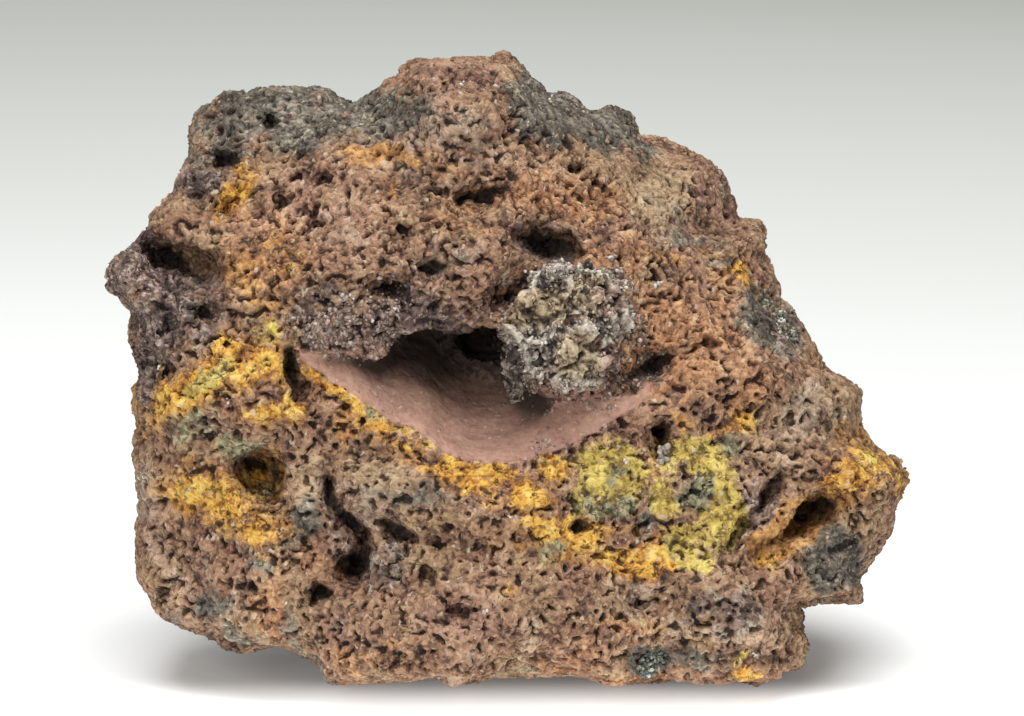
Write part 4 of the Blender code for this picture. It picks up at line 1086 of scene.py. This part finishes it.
def make_crust(node, name, voxel, swell, triangles, count, radii, seed):
    """A crust of lumps and the crystals set on it, in the place of its CAD node, as two meshes."""
    chance = np.random.default_rng(seed)
    obj = stone_from(node)
    obj.name = name
    apply(obj, "REMESH", mode="VOXEL", voxel_size=voxel * MM)
    set_points(obj.data, evened(points_of(obj.data), edges_of(obj.data), 6))
    places = points_of(obj.data) / MM
    shift = sway(places, 2.6, range(seed + 30, seed + 33))
    places = places + 0.9 * swell * shift
    bent = places + 0.5 * sway(places, 1.8, range(seed + 40, seed + 43))
    out = 1.7 * swell * (waves(bent, 2.9, seed + 1, 3, folded=True) - 0.38)
    out += 0.8 * swell * (waves(bent, 1.1, seed + 2, 2, folded=True) - 0.36)
    out -= 1.3 * swell * step_up(0.26, 0.42, waves(bent, 2.2, seed + 3, 2))
    places = places + LET_IN.get(name, (0, 0, 0))
    if name == "druse":
        flat = face_places(points_of(obj.data))[:, (0, 2)] + 0.8 * shift[:, (0, 2)]
        (edge, height), lean = DRUSE_EDGE
        outside = step_up(0.2, -1.2, flat[:, 0] - edge - lean * np.maximum(height - flat[:, 1], 0))
        outside = np.maximum(outside, step_up(0.94, 1.16, turned(flat, *DRUSE_OUTLINE)))
        places = places + DRUSE_PUSH * outside[:, None] * INTO_FACE
    set_points(obj.data, (places + out[:, None] * normals_of(obj.data)) * MM)
    faces = 2 * len(obj.data.polygons)
    apply(obj, "DECIMATE", ratio=min(1.0, triangles / faces))
    points = points_of(obj.data)
    normals = normals_of(obj.data)
    edges = edges_of(obj.data)
    # how far the crust's skin is sunk, which its material darkens as painted shade
    depth = np.einsum("ij,ij->i", evened(points, edges, 16) - points, evened(normals, edges, 8)) / MM
    note(obj.data, "pitted", np.clip(depth / 0.25, -1, 1))
    note(obj.data, "own", np.zeros(len(points)))
    for label, mask in druse_masks(points, name).items():
        note(obj.data, label, mask)
    obj.data.shade_smooth()

    corners, area, facing = triangles_of(obj)
    toward = step_up(-0.3, 0.3, -facing @ INTO_FACE)
    middles = corners.mean(axis=1) / MM
    crowd = 0.15 + 0.85 * step_up(-0.25, 0.2, waves(middles, 3.0, seed + 4, 2))
    crowd *= 1 - 0.75 * druse_masks(middles * MM, name)["tan"]
    seats, chosen = scattered(corners, area * toward * crowd, count, chance)
    radius = radii[0] + (radii[1] - radii[0]) * chance.uniform(size=count) ** 1.8
    seats = seats + facing[chosen] * (radius * chance.uniform(-0.1, 0.5, count))[:, None] * MM
    shapes = [crystal_shape(chance) for _ in range(10)]
    turns = standing(facing[chosen], 0.55, chance)
    crystals, owners = joined("crystals", shapes, seats, turns, radius * MM, chance)
    note(crystals.data, "own", chance.uniform(0.02, 1, count)[owners])
    note(crystals.data, "pitted", np.zeros(len(owners)))
    for label, mask in druse_masks(seats, name).items():
        note(crystals.data, label, mask[owners])
    return obj, crystals


def make_sugar(skin):
    """Sugary grains spread on the stone round the druse and along the brow."""
    chance = np.random.default_rng(71)
    corners, area, normals = skin
    places = face_places(corners.mean(axis=1))
    places[:, 0] += 0.8 * waves(places, 2.5, 72, 2)
    places[:, 2] += 0.8 * waves(places, 2.5, 73, 2)
    weight = np.zeros(len(places))
    for middle, half, turn, strength in SUGAR:
        share = 1 - step_up(0.5, 1.35, turned(places[:, (0, 2)], middle, half, turn))
        weight = np.maximum(weight, strength * share)
    weight *= step_up(-0.3, 0.3, -normals @ INTO_FACE) * (places[:, 1] < 2)
    weight *= 1 - 0.9 * step_up(-1.2, -0.4, places[:, 1] - floor_level(places)) * (places[:, 0] < 3)
    weight *= 0.1 + 0.9 * step_up(-0.2, 0.2, waves(places, 1.8, 74, 2))
    seats, chosen = scattered(corners, weight * area, SUGAR_COUNT, chance)
    radius = SUGAR_RADII[0] + (SUGAR_RADII[1] - SUGAR_RADII[0]) * chance.uniform(size=SUGAR_COUNT) ** 1.8
    shapes = [crystal_shape(chance) for _ in range(8)]
    turns = random_turns(SUGAR_COUNT, chance)
    obj, owners = joined("sugar_grains", shapes, seats, turns, radius * MM, chance)
    note(obj.data, "own", chance.uniform(0.0, 0.97, SUGAR_COUNT)[owners])
    note(obj.data, "tan", np.zeros(len(owners)))
    note(obj.data, "mauve", (0.3 + 0.7 * chance.uniform(size=SUGAR_COUNT))[owners])
    return obj


def make_specks(trees):
    """Bright crystals standing alone or in little knots on the face, and the block in the square slot."""
    chance = np.random.default_rng(81)
    seats, radius, normals = [], [], []
    for middle, size in SPECKS:
        for _ in range(chance.integers(2, 5)):
            spot = np.array(middle) + chance.normal(size=2) * 0.45 * size
            found = [on_face(tree, spot) for tree in trees]
            found = [(hit, normal) for hit, normal in found if hit is not None]
            if not found:
                continue
            hit, normal = min(found, key=lambda pair: pair[0].y)
            seats.append(tuple(hit))
            normals.append(tuple(normal))
            radius.append(size * chance.uniform(0.22, 0.5))
    middle, size = SLOT_CRYSTAL
    beside = [on_face(tree, (middle[0] + side, middle[1])) for tree in trees for side in (-2.4, 2.4)]
    level = min((hit for hit, _ in beside if hit is not None), key=lambda place: place.y)
    ahead = Vector(INTO_FACE).dot(level)
    for shift in chance.uniform(-1, 1, (SLOT_COUNT, 3)) * (0.75, 0.4, 1.3):
        spot = from_face(np.array([[middle[0] + shift[0], 0.0, middle[1] + shift[2]]]))[0]
        spot = spot + INTO_FACE * (ahead + (0.8 + shift[1]) * MM - spot @ INTO_FACE)
        seats.append(tuple(spot))
        normals.append(SLOT_FACING)
        radius.append(size * chance.uniform(0.6, 1.05))
    seats, radius, normals = np.array(seats), np.array(radius), np.array(normals)
    shapes = [crystal_shape(chance) for _ in range(8)]
    turns = standing(normals, 0.4, chance)
    obj, owners = joined("bright_crystals", shapes, seats, turns, radius * MM, chance)
    bright = chance.uniform(0.75, 1, len(seats))
    bright[-SLOT_COUNT:] = chance.uniform(0.35, 0.8, SLOT_COUNT)
    note(obj.data, "own", bright[owners])
    note(obj.data, "tan", np.zeros(len(owners)))
    note(obj.data, "mauve", np.zeros(len(owners)))
    return obj


# ---------------------------------------------------------------- materials

def put(tree, kind, inputs=None, **settings):
    """Adds a node, with its settings, and its inputs by name or number, set or linked."""
    made = tree.nodes.new("ShaderNode" + kind)
    for name, value in settings.items():
        setattr(made, name, value)
    for name, value in (inputs or {}).items():
        if isinstance(value, bpy.types.NodeSocket):
            tree.links.new(value, made.inputs[name])
        else:
            made.inputs[name].default_value = value
    return made


def sums(tree, operation, first, second=0.5, third=None):
    """One sum on two or three values."""
    inputs = {0: first, 1: second}
    if third is not None:
        inputs[2] = third
    return put(tree, "Math", inputs, operation=operation).outputs[0]


def total(tree, *values):
    """Several values added up."""
    added = values[0]
    for value in values[1:]:
        added = sums(tree, "ADD", added, value)
    return added


def product(tree, *values):
    """Several values multiplied."""
    made = values[0]
    for value in values[1:]:
        made = sums(tree, "MULTIPLY", made, value)
    return made


def noted(tree, name):
    """The number that the mesh holds at each point under a name."""
    return put(tree, "Attribute", attribute_name=name).outputs["Fac"]


def rise(tree, value, low, high, from_value=0.0, to_value=1.0):
    """A number that goes smoothly from one value to another while a value goes from low to high."""
    inputs = {0: value, 1: low, 2: high, 3: from_value, 4: to_value}
    return put(tree, "MapRange", inputs, interpolation_type="SMOOTHSTEP").outputs[0]


def mixed(tree, share, first, second, way="MIX"):
    """Two colours mixed by a share."""
    inputs = {0: share, 6: first, 7: second}
    return put(tree, "Mix", inputs, data_type="RGBA", blend_type=way).outputs[2]


def tone(red, green, blue):
    """A colour as seen, 0 to 255, as the shader's own numbers."""
    seen = [value / 255 for value in (red, green, blue)]
    return [v / 12.92 if v <= 0.04045 else ((v + 0.055) / 1.055) ** 2.4 for v in seen] + [1.0]


def tones(*stops):
    """Places on a ramp and their colours, out of (place, red, green, blue) as seen."""
    return [(place, tone(*seen)) for place, *seen in stops]


def ramp(tree, value, stops):
    """The colour that a value has between stops, each a place and a colour."""
    made = put(tree, "ValToRGB", {0: value})
    elements = made.color_ramp.elements
    while len(elements) < len(stops):
        elements.new(0.5)
    for element, (place, colour) in zip(elements, stops):
        element.position = place
        element.color = colour
    return made.outputs[0]


def new_group(name, inputs, outputs):
    """An empty node group with named number inputs, and named outputs."""
    group = bpy.data.node_groups.new(name, "ShaderNodeTree")
    for label, value in inputs.items():
        socket = group.interface.new_socket(label, in_out="INPUT", socket_type="NodeSocketFloat")
        socket.default_value = value
    for label, kind in outputs.items():
        group.interface.new_socket(label, in_out="OUTPUT", socket_type="NodeSocket" + kind)
    given = group.nodes.new("NodeGroupInput")
    result = group.nodes.new("NodeGroupOutput")
    return group, given, result


def millimetres(tree):
    """The point on the piece, in millimetres."""
    place = put(tree, "TexCoord").outputs["Object"]
    return put(tree, "VectorMath", {0: place, 3: 1000.0}, operation="SCALE").outputs[0]


def speckle(tree, place, size, detail=2.0, rough=0.6, seed=0.0):
    """Noise about a half, whose features are size millimetres across."""
    inputs = {"Vector": place, "W": seed, "Scale": 1 / size, "Detail": detail, "Roughness": rough}
    return put(tree, "TexNoise", inputs, noise_dimensions="4D").outputs[0]


# Each mineral's tones, dark to light, as (place on the ramp, red, green, blue)
TONES = {
    "base": tones(
        (0.24, 58, 42, 37), (0.40, 106, 80, 67), (0.52, 142, 112, 91), (0.64, 162, 133, 108),
        (0.82, 190, 164, 138),
    ),
    "tan": tones((0.26, 98, 76, 58), (0.50, 152, 126, 98), (0.74, 186, 160, 130)),
    "grey": tones((0.26, 40, 36, 33), (0.44, 80, 73, 65), (0.60, 110, 102, 91), (0.80, 154, 145, 130)),
    "red": tones((0.26, 68, 44, 39), (0.48, 132, 98, 82), (0.74, 174, 138, 116)),
    "rust": tones((0.26, 88, 52, 36), (0.46, 150, 106, 76), (0.60, 176, 130, 94), (0.78, 204, 164, 122)),
    "mauve": tones((0.25, 104, 76, 72), (0.50, 165, 127, 111), (0.75, 194, 158, 140)),
    "dark": tones((0.28, 30, 24, 25), (0.48, 80, 64, 60), (0.62, 116, 97, 90), (0.80, 172, 154, 145)),
    "amber": tones((0.26, 84, 52, 28), (0.42, 138, 94, 52), (0.56, 170, 122, 70), (0.78, 204, 160, 102)),
    "clay": tones((0.26, 96, 78, 68), (0.50, 156, 134, 115), (0.74, 192, 170, 150)),
    "green": tones((0.26, 58, 54, 42), (0.50, 128, 122, 94), (0.76, 182, 174, 140)),
    "sulphur": tones(
        (0.26, 116, 92, 48), (0.42, 163, 137, 70), (0.56, 189, 164, 82), (0.78, 215, 195, 112),
    ),
    "ochre": tones(
        (0.24, 116, 70, 30), (0.38, 168, 114, 48), (0.50, 200, 147, 64), (0.62, 217, 170, 78),
        (0.82, 233, 200, 114),
    ),
}
# The stone's cast all over, stray grains of other minerals, the painted shade of pores and pits, and the
# painted shadow under the brow
ALL_OVER_CAST = tone(242, 242, 240)
STRAY_TONES = tones(
    (0.0, 66, 52, 48), (0.35, 140, 112, 104), (0.6, 170, 132, 96), (0.9, 190, 176, 158),
)
PORE_SHADE_TONE, BROW_SHADOW_TONE = tone(36, 26, 24), tone(54, 45, 41)
# The minerals in the order in which they are laid over each other
LAYING_ORDER = ("tan", "clay", "mauve", "red", "rust", "grey", "dark", "amber", "ochre", "sulphur", "green")
# The bright ones keep to their own patches, and vary most within them
VIVID = ("amber", "ochre", "sulphur")


def swing(tree, value, strength):
    """A noise value's swing about its middle, made stronger."""
    return sums(tree, "MULTIPLY", sums(tree, "SUBTRACT", value, 0.5), strength)


def colours_and_painted_shade():
    """Node group: the stone's colour from the shares of its minerals, with ragged edges and fine grain, and
    painted shade in its pores, pits and vugs and under the brow.
    """
    group, given, result = new_group(
        "mineral colours and painted shade",
        {"Raggedness": 1.0, "Grain Contrast": 0.6, "Pore Share": 0.68},
        {"Color": "Color", "Pores": "Float", "Height": "Float", "Glint": "Float"},
    )
    place = millimetres(group)
    warp = put(group, "TexNoise", {"Vector": place, "Scale": 0.8, "Detail": 2.0}).outputs[1]
    bend = {0: warp, 1: (1.2, 1.2, 1.2), 2: place}
    warped = put(group, "VectorMath", bend, operation="MULTIPLY_ADD").outputs[0]
    broad = speckle(group, warped, 5.0, 1.0, 0.5, 9.0)
    coarse = speckle(group, warped, 1.9, 3.0, 0.65)
    fine = speckle(group, warped, 0.6, 3.0, 0.7, 2.0)
    smooth = rise(group, noted(group, "floor"), 0.2, 0.7)
    ragged = total(group, swing(group, coarse, 1.6), swing(group, fine, 1.1), swing(group, broad, 1.6))
    ragged = product(group, ragged, given.outputs["Raggedness"], rise(group, smooth, 0.0, 1.0, 1.0, 0.2))
    grains = put(group, "TexVoronoi", {"Vector": warped, "Scale": 1 / 0.46})
    grain = put(group, "SeparateColor", {0: grains.outputs["Color"]})
    pitted = noted(group, "pitted")
    # the tint is a little darker where the skin is sunk in a pit, as painted shade
    tint = total(
        group, swing(group, fine, 0.64), swing(group, coarse, 0.42),
        swing(group, speckle(group, place, 3.6, 2.0, 0.6, 12.0), 0.8), swing(group, grain.outputs[0], 0.24),
        product(group, pitted, -0.10),
    )
    tint = sums(group, "MULTIPLY_ADD", tint, rise(group, smooth, 0.0, 1.0, 1.0, 0.42), 0.5)
    colour = ramp(group, tint, TONES["base"])
    # the plain stone's own drift from olive to wine brown
    drift = rise(group, speckle(group, place, 6.5, 3.0, 0.6, 21.0), 0.36, 0.64)
    cast = mixed(group, drift, tone(247, 246, 232), tone(250, 236, 232))
    colour = mixed(group, 1.0, colour, cast, "MULTIPLY")
    hue = swing(group, speckle(group, place, 2.6, 2.0, 0.6, 33.0), 0.7)
    for mineral in LAYING_ORDER:
        share = noted(group, mineral)
        edge, shade = ragged, tint
        if mineral in VIVID:
            edge = product(group, ragged, rise(group, share, 0.0, 0.25, 0.4, 1.0))
            shade = total(group, tint, hue)
        share = rise(group, total(group, share, edge), 0.28, 0.86)
        colour = mixed(group, share, colour, ramp(group, shade, TONES[mineral]))
    colour = mixed(group, 1.0, colour, ALL_OVER_CAST, "MULTIPLY")
    # single grains of another mineral
    odd = rise(group, grain.outputs[1], 0.91, 0.95)
    odd = product(group, odd, given.outputs["Grain Contrast"])
    colour = mixed(group, odd, colour, ramp(group, grain.outputs[2], STRAY_TONES))
    # pores: ragged gaps that crowd together here and there, darkened as painted shade
    gaps = speckle(group, warped, 0.78, 3.0, 0.6, 5.0)
    crowd = rise(group, speckle(group, place, 5.0, 2.0, 0.5, 7.0), 0.38, 0.62, -0.05, 0.03)
    pores = rise(group, sums(group, "SUBTRACT", gaps, crowd), 0.39, 0.34)
    pores = product(group, pores, given.outputs["Pore Share"], rise(group, smooth, 0.0, 1.0, 1.0, 0.04))
    colour = mixed(group, pores, colour, PORE_SHADE_TONE)
    # painted shade: small pits and whole vugs are darkened inside, but not on the smooth floor
    shade = product(group, rise(group, pitted, 0.10, 1.0), rise(group, smooth, 0.0, 1.0, 0.72, 0.0))
    colour = mixed(group, shade, colour, PORE_SHADE_TONE)
    shade = rise(group, noted(group, "hollowed"), 0.15, 1.0, 0.0, 0.6)
    shade = product(group, shade, rise(group, smooth, 0.0, 1.0, 1.0, 0.0))
    colour = mixed(group, shade, colour, PORE_SHADE_TONE)
    # painted shadow under the brow, with a wavering edge, and painted shade in the blackest vugs and cracks
    waver = swing(group, speckle(group, place, 3.0, 2.0, 0.6, 41.0), 0.3)
    under = total(group, noted(group, "under_brow"), waver)
    brow_shadow = product(group, noted(group, "brow_shadow_gate"), rise(group, under, 1.14, 0.60))
    deep = sums(group, "MAXIMUM", noted(group, "deep"), brow_shadow)
    colour = mixed(group, product(group, deep, 0.9), colour, BROW_SHADOW_TONE)
    height = total(group, fine, product(group, grains.outputs["Distance"], -0.5))
    height = sums(group, "MULTIPLY_ADD", grain.outputs[1], 0.4, height)
    height = sums(group, "SUBTRACT", height, pores)
    height = product(group, height, rise(group, smooth, 0.0, 1.0, 1.0, 0.3))
    group.links.new(colour, result.inputs["Color"])
    group.links.new(pores, result.inputs["Pores"])
    group.links.new(height, result.inputs["Height"])
    group.links.new(rise(group, grain.outputs[2], 0.955, 0.97), result.inputs["Glint"])
    return group


def new_material(name):
    """A material with its nodes and its shader."""
    material = bpy.data.materials.new(name)
    material.use_nodes = True
    tree = material.node_tree
    return material, tree, tree.nodes["Principled BSDF"]


def placed(tree, group, **values):
    """A node group placed in a material, with its own values."""
    made = tree.nodes.new("ShaderNodeGroup")
    made.node_tree = group
    for name, value in values.items():
        made.inputs[name].default_value = value
    return made


def stone_material(name, colours, bump):
    """A material that lays the mineral colours on the stone and its crumbs."""
    material, tree, shader = new_material(name)
    stone = placed(tree, colours)
    tree.links.new(stone.outputs["Color"], shader.inputs["Base Color"])
    rough = rise(tree, stone.outputs["Glint"], 0.0, 1.0, 0.88, 0.35)
    tree.links.new(rough, shader.inputs["Roughness"])
    relief = put(tree, "Bump", {"Strength": bump, "Distance": 0.35 * MM, "Height": stone.outputs["Height"]})
    tree.links.new(relief.outputs[0], shader.inputs["Normal"])
    shader.inputs["Specular IOR Level"].default_value = 0.3
    return material


# The crusts' tones: their skin from its gaps, which are darkened as painted shade, to its tips, and their
# crystals from darkest to brightest
CRUST_TONES = {
    "druse": (
        tones(
            (0.10, 34, 28, 26), (0.36, 88, 76, 70), (0.54, 133, 120, 107), (0.68, 154, 143, 128),
            (0.88, 184, 177, 165),
        ),
        tones((0.0, 94, 82, 74), (0.4, 130, 117, 105), (0.75, 158, 147, 134), (0.98, 208, 202, 192)),
    ),
    "flank_crystals": (
        tones((0.10, 28, 24, 21), (0.40, 80, 72, 60), (0.58, 132, 120, 102), (0.85, 166, 152, 128)),
        tones((0.0, 48, 46, 40), (0.5, 102, 98, 86), (0.8, 148, 142, 126), (0.96, 198, 194, 178)),
    ),
    "oval_crystals": (
        tones((0.10, 22, 24, 24), (0.45, 52, 58, 54), (0.65, 94, 98, 86), (0.85, 130, 126, 108)),
        tones((0.0, 34, 42, 38), (0.5, 76, 82, 72), (0.8, 122, 124, 108), (0.95, 186, 186, 170)),
    ),
}
TAN_CAST, MAUVE_CAST = tone(246, 230, 200), tone(232, 202, 194)


def druse_casts():
    """Node group: a colour cast over the druse, tan here and wine brown there, and white elsewhere."""
    group, given, result = new_group("druse casts", {"Strength": 1.0}, {"Cast": "Color"})
    colour = tone(255, 255, 255)
    for label, cast in (("tan", TAN_CAST), ("mauve", MAUVE_CAST)):
        share = product(group, noted(group, label), given.outputs["Strength"])
        colour = mixed(group, share, colour, cast)
    group.links.new(colour, result.inputs["Cast"])
    return group


def sugar_grain():
    """Node group: the mottling, grain and painted shade in the gaps of a crystal crust, the shade by how
    far its skin is sunk.
    """
    group, given, result = new_group("sugar grain", {"Grain": 0.5}, {"Tint": "Float", "Height": "Float"})
    place = millimetres(group)
    size = sums(group, "DIVIDE", 1.0, given.outputs["Grain"])
    grains = put(group, "TexVoronoi", {"Vector": place, "Scale": size})
    grain = put(group, "SeparateColor", {0: grains.outputs["Color"]})
    mottling = swing(group, speckle(group, place, 1.6, 3.0, 0.65, 3.0), 1.1)
    sunk = product(group, noted(group, "pitted"), -0.34)
    tint = total(group, mottling, 0.5, swing(group, grain.outputs[0], 0.24), sunk)
    group.links.new(tint, result.inputs["Tint"])
    group.links.new(product(group, grains.outputs["Distance"], -1.0), result.inputs["Height"])
    return group


def crust_material(name, grain, casts, stops):
    """The lumpy skin that a crust's crystals stand on."""
    material, tree, shader = new_material(name)
    sugar, cast = placed(tree, grain, Grain=0.42), placed(tree, casts)
    colour = mixed(tree, 1.0, ramp(tree, sugar.outputs["Tint"], stops), cast.outputs["Cast"], "MULTIPLY")
    tree.links.new(colour, shader.inputs["Base Color"])
    tree.links.new(rise(tree, sugar.outputs["Tint"], 0.3, 0.9, 0.8, 0.45), shader.inputs["Roughness"])
    relief = put(tree, "Bump", {"Strength": 0.9, "Distance": 0.2 * MM, "Height": sugar.outputs["Height"]})
    tree.links.new(relief.outputs[0], shader.inputs["Normal"])
    return material


def crystal_material(name, casts, stops):
    """Glassy little crystals, each with a tone of its own, a little see-through at their points."""
    material, tree, shader = new_material(name)
    place = millimetres(tree)
    cloud = swing(tree, speckle(tree, place, 0.5, 2.0, 0.6, 4.0), 0.5)
    colour = ramp(tree, total(tree, noted(tree, "own"), cloud), stops)
    colour = mixed(tree, 1.0, colour, placed(tree, casts).outputs["Cast"], "MULTIPLY")
    tree.links.new(colour, shader.inputs["Base Color"])
    rough = rise(tree, speckle(tree, place, 0.9, 2.0, 0.6, 6.0), 0.4, 0.6, 0.14, 0.4)
    tree.links.new(rough, shader.inputs["Roughness"])
    shader.inputs["IOR"].default_value = 1.54
    shader.inputs["Transmission Weight"].default_value = 0.15
    return material


# ---------------------------------------------------------------- stage

FLOOR_RADIUS = 3.0
# The table's tones from its front to its back, painted shade that darkens it towards the back, over this
# depth in metres, on lines that lean back leftwards
FLOOR_DEPTH, FLOOR_LEAN = 0.65, 0.38
FLOOR_SHADE_TONES = [
    (0.0, (0.90, 0.905, 0.90, 1)), (0.12, (0.86, 0.865, 0.85, 1)), (0.30, (0.80, 0.81, 0.79, 1)),
    (0.43, (0.755, 0.77, 0.74, 1)), (0.80, (0.70, 0.72, 0.68, 1)), (0.95, (0.62, 0.65, 0.59, 1)),
]
# How much painted light the table itself sends up as a glow in front of the stone, and round it
FRONT_GLOW, UNDER_GLOW = 0.80, 0.10
CAMERA_LENS = 200.0
# The frame's size in pixels, where the middle of the stone's outline falls in it, and a millimetre's pixels
FRAME_WIDTH, FRAME_HEIGHT = 1024, 716
OUTLINE_MIDDLE = (505.5, 370.5)
PIXELS_PER_MM = 8.09
# The lights: name, place, width, height, power; and the room's own colour and strength
LIGHTS = [
    ("overhead", (0.02, -0.20, 0.72), 0.65, 0.6, 8.4),
    ("front fill", (-0.30, -0.90, 0.40), 0.6, 0.5, 3.6),
]
ROOM_COLOUR, ROOM_LIGHT = (0.95, 0.98, 0.95, 1), 0.26


def make_floor():
    """The pale table, with painted shade darkening it towards its back and right, and painted light glowing
    in front of the stone.
    """
    bpy.ops.object.select_all(action="DESELECT")
    bpy.ops.mesh.primitive_circle_add(vertices=96, radius=FLOOR_RADIUS, fill_type="NGON")
    floor = bpy.context.object
    floor.name = "floor"
    material, tree, shader = new_material("pale_sweep")
    place = put(tree, "TexCoord").outputs["Object"]
    axes = put(tree, "SeparateXYZ", {0: place})
    away = sums(tree, "MULTIPLY_ADD", axes.outputs[0], FLOOR_LEAN, axes.outputs[1])
    share = put(tree, "MapRange", {0: away, 1: 0.0, 2: FLOOR_DEPTH}).outputs[0]
    tree.links.new(ramp(tree, share, FLOOR_SHADE_TONES), shader.inputs["Base Color"])
    # painted light: a glowing strip of the table, in front of the stone's foot
    ahead = rise(tree, axes.outputs[1], -0.005, -0.022)
    before = rise(tree, axes.outputs[1], -0.075, -0.035)
    aside = rise(tree, sums(tree, "ABSOLUTE", axes.outputs[0]), 0.11, 0.05)
    near = rise(tree, put(tree, "VectorMath", {0: place}, operation="LENGTH").outputs["Value"], 0.14, 0.06)
    glow = total(tree, product(tree, ahead, before, aside, FRONT_GLOW), product(tree, near, UNDER_GLOW))
    glow = put(tree, "CombineXYZ", {0: glow, 1: glow, 2: glow}).outputs[0]
    tree.links.new(glow, shader.inputs["Emission Color"])
    shader.inputs["Emission Strength"].default_value = 1.0
    shader.inputs["Roughness"].default_value = 0.85
    shader.inputs["Specular IOR Level"].default_value = 0.1
    floor.data.materials.append(material)
    return floor


def softbox(name, place, target, width, height, power):
    """A soft oblong light turned to a target."""
    light = bpy.data.lights.new(name, "AREA")
    light.shape = "RECTANGLE"
    light.size = width
    light.size_y = height
    light.energy = power
    obj = bpy.data.objects.new(name, light)
    bpy.context.scene.collection.objects.link(obj)
    obj.location = place
    obj.rotation_euler = (Vector(target) - Vector(place)).to_track_quat("-Z", "Y").to_euler()
    return obj


def light_and_camera():
    """Soft light from above and the front, and a camera that looks straight at the broad face."""
    middle = Vector((0, 0, 0.038))
    for name, place, width, height, power in LIGHTS:
        softbox(name, place, middle, width, height, power)
    world = bpy.data.worlds.new("studio")
    world.use_nodes = True
    background = world.node_tree.nodes["Background"]
    background.inputs[0].default_value = ROOM_COLOUR
    background.inputs[1].default_value = ROOM_LIGHT
    bpy.context.scene.world = world

    lens = bpy.data.cameras.new("camera")
    lens.lens = CAMERA_LENS
    camera = bpy.data.objects.new("camera", lens)
    bpy.context.scene.collection.objects.link(camera)
    lens.sensor_width = FRAME_WIDTH / PIXELS_PER_MM * CAMERA_LENS / VIEW_DISTANCE
    into = Vector(INTO_FACE)
    up = Vector((0, LEAN_SIN, LEAN_COS))
    aim = up * FACE_MIDDLE * MM
    aim += Vector((1, 0, 0)) * (FRAME_WIDTH / 2 - OUTLINE_MIDDLE[0]) / PIXELS_PER_MM * MM
    aim += up * (OUTLINE_MIDDLE[1] - FRAME_HEIGHT / 2) / PIXELS_PER_MM * MM
    camera.location = aim - into * (VIEW_DISTANCE - FACE_DEPTH) * MM
    camera.rotation_euler = into.to_track_quat("-Z", "Y").to_euler()
    bpy.context.scene.camera = camera
    bpy.context.scene.view_settings.view_transform = "Standard"


# ---------------------------------------------------------------- putting it together

bpy.ops.object.select_all(action="DESELECT")
rock = make_rock()
colours = colours_and_painted_shade()
ironstone = stone_material("weathered_ironstone", colours, 0.9)
for piece in rock:
    piece.data.materials.append(ironstone)
    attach(piece, "root")
    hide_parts("gossan_rock")
skin = [np.concatenate(part) for part in zip(*[triangles_of(piece) for piece in rock])]
masks = zone_masks(skin[0].mean(axis=1))
masks["base"] = 1 - step_up(0.3, 0.6, np.max([masks[mineral] for mineral in ZONES], axis=0))
for name, count, radii, seed, thickness in CRUMBS:
    crumbs = make_crumbs(skin, masks, name, count, radii, seed, thickness)
    crumbs.data.materials.append(ironstone)
    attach(crumbs, "root")

grain = sugar_grain()
casts = druse_casts()
for node, name, voxel, swell, triangles, count, radii, seed in CRUSTS:
    crust, crystals = make_crust(node, name, voxel, swell, triangles, count, radii, seed)
    skin_stops, crystal_stops = CRUST_TONES[name]
    crust.data.materials.append(crust_material(name + "_skin", grain, casts, skin_stops))
    crystals.data.materials.append(crystal_material(name + "_points", casts, crystal_stops))
    bpy.ops.object.select_all(action="DESELECT")
    crystals.select_set(True)
    crust.select_set(True)
    bpy.context.view_layer.objects.active = crust
    bpy.ops.object.join()
    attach(crust, "root")
    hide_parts(node)

quartz = bpy.data.materials["druse_points"]
for piece in (make_sugar(skin), make_specks([shape_tree(part) for part in rock[:3]])):
    piece.data.materials.append(quartz)
    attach(piece, "root")

make_floor()
light_and_camera()
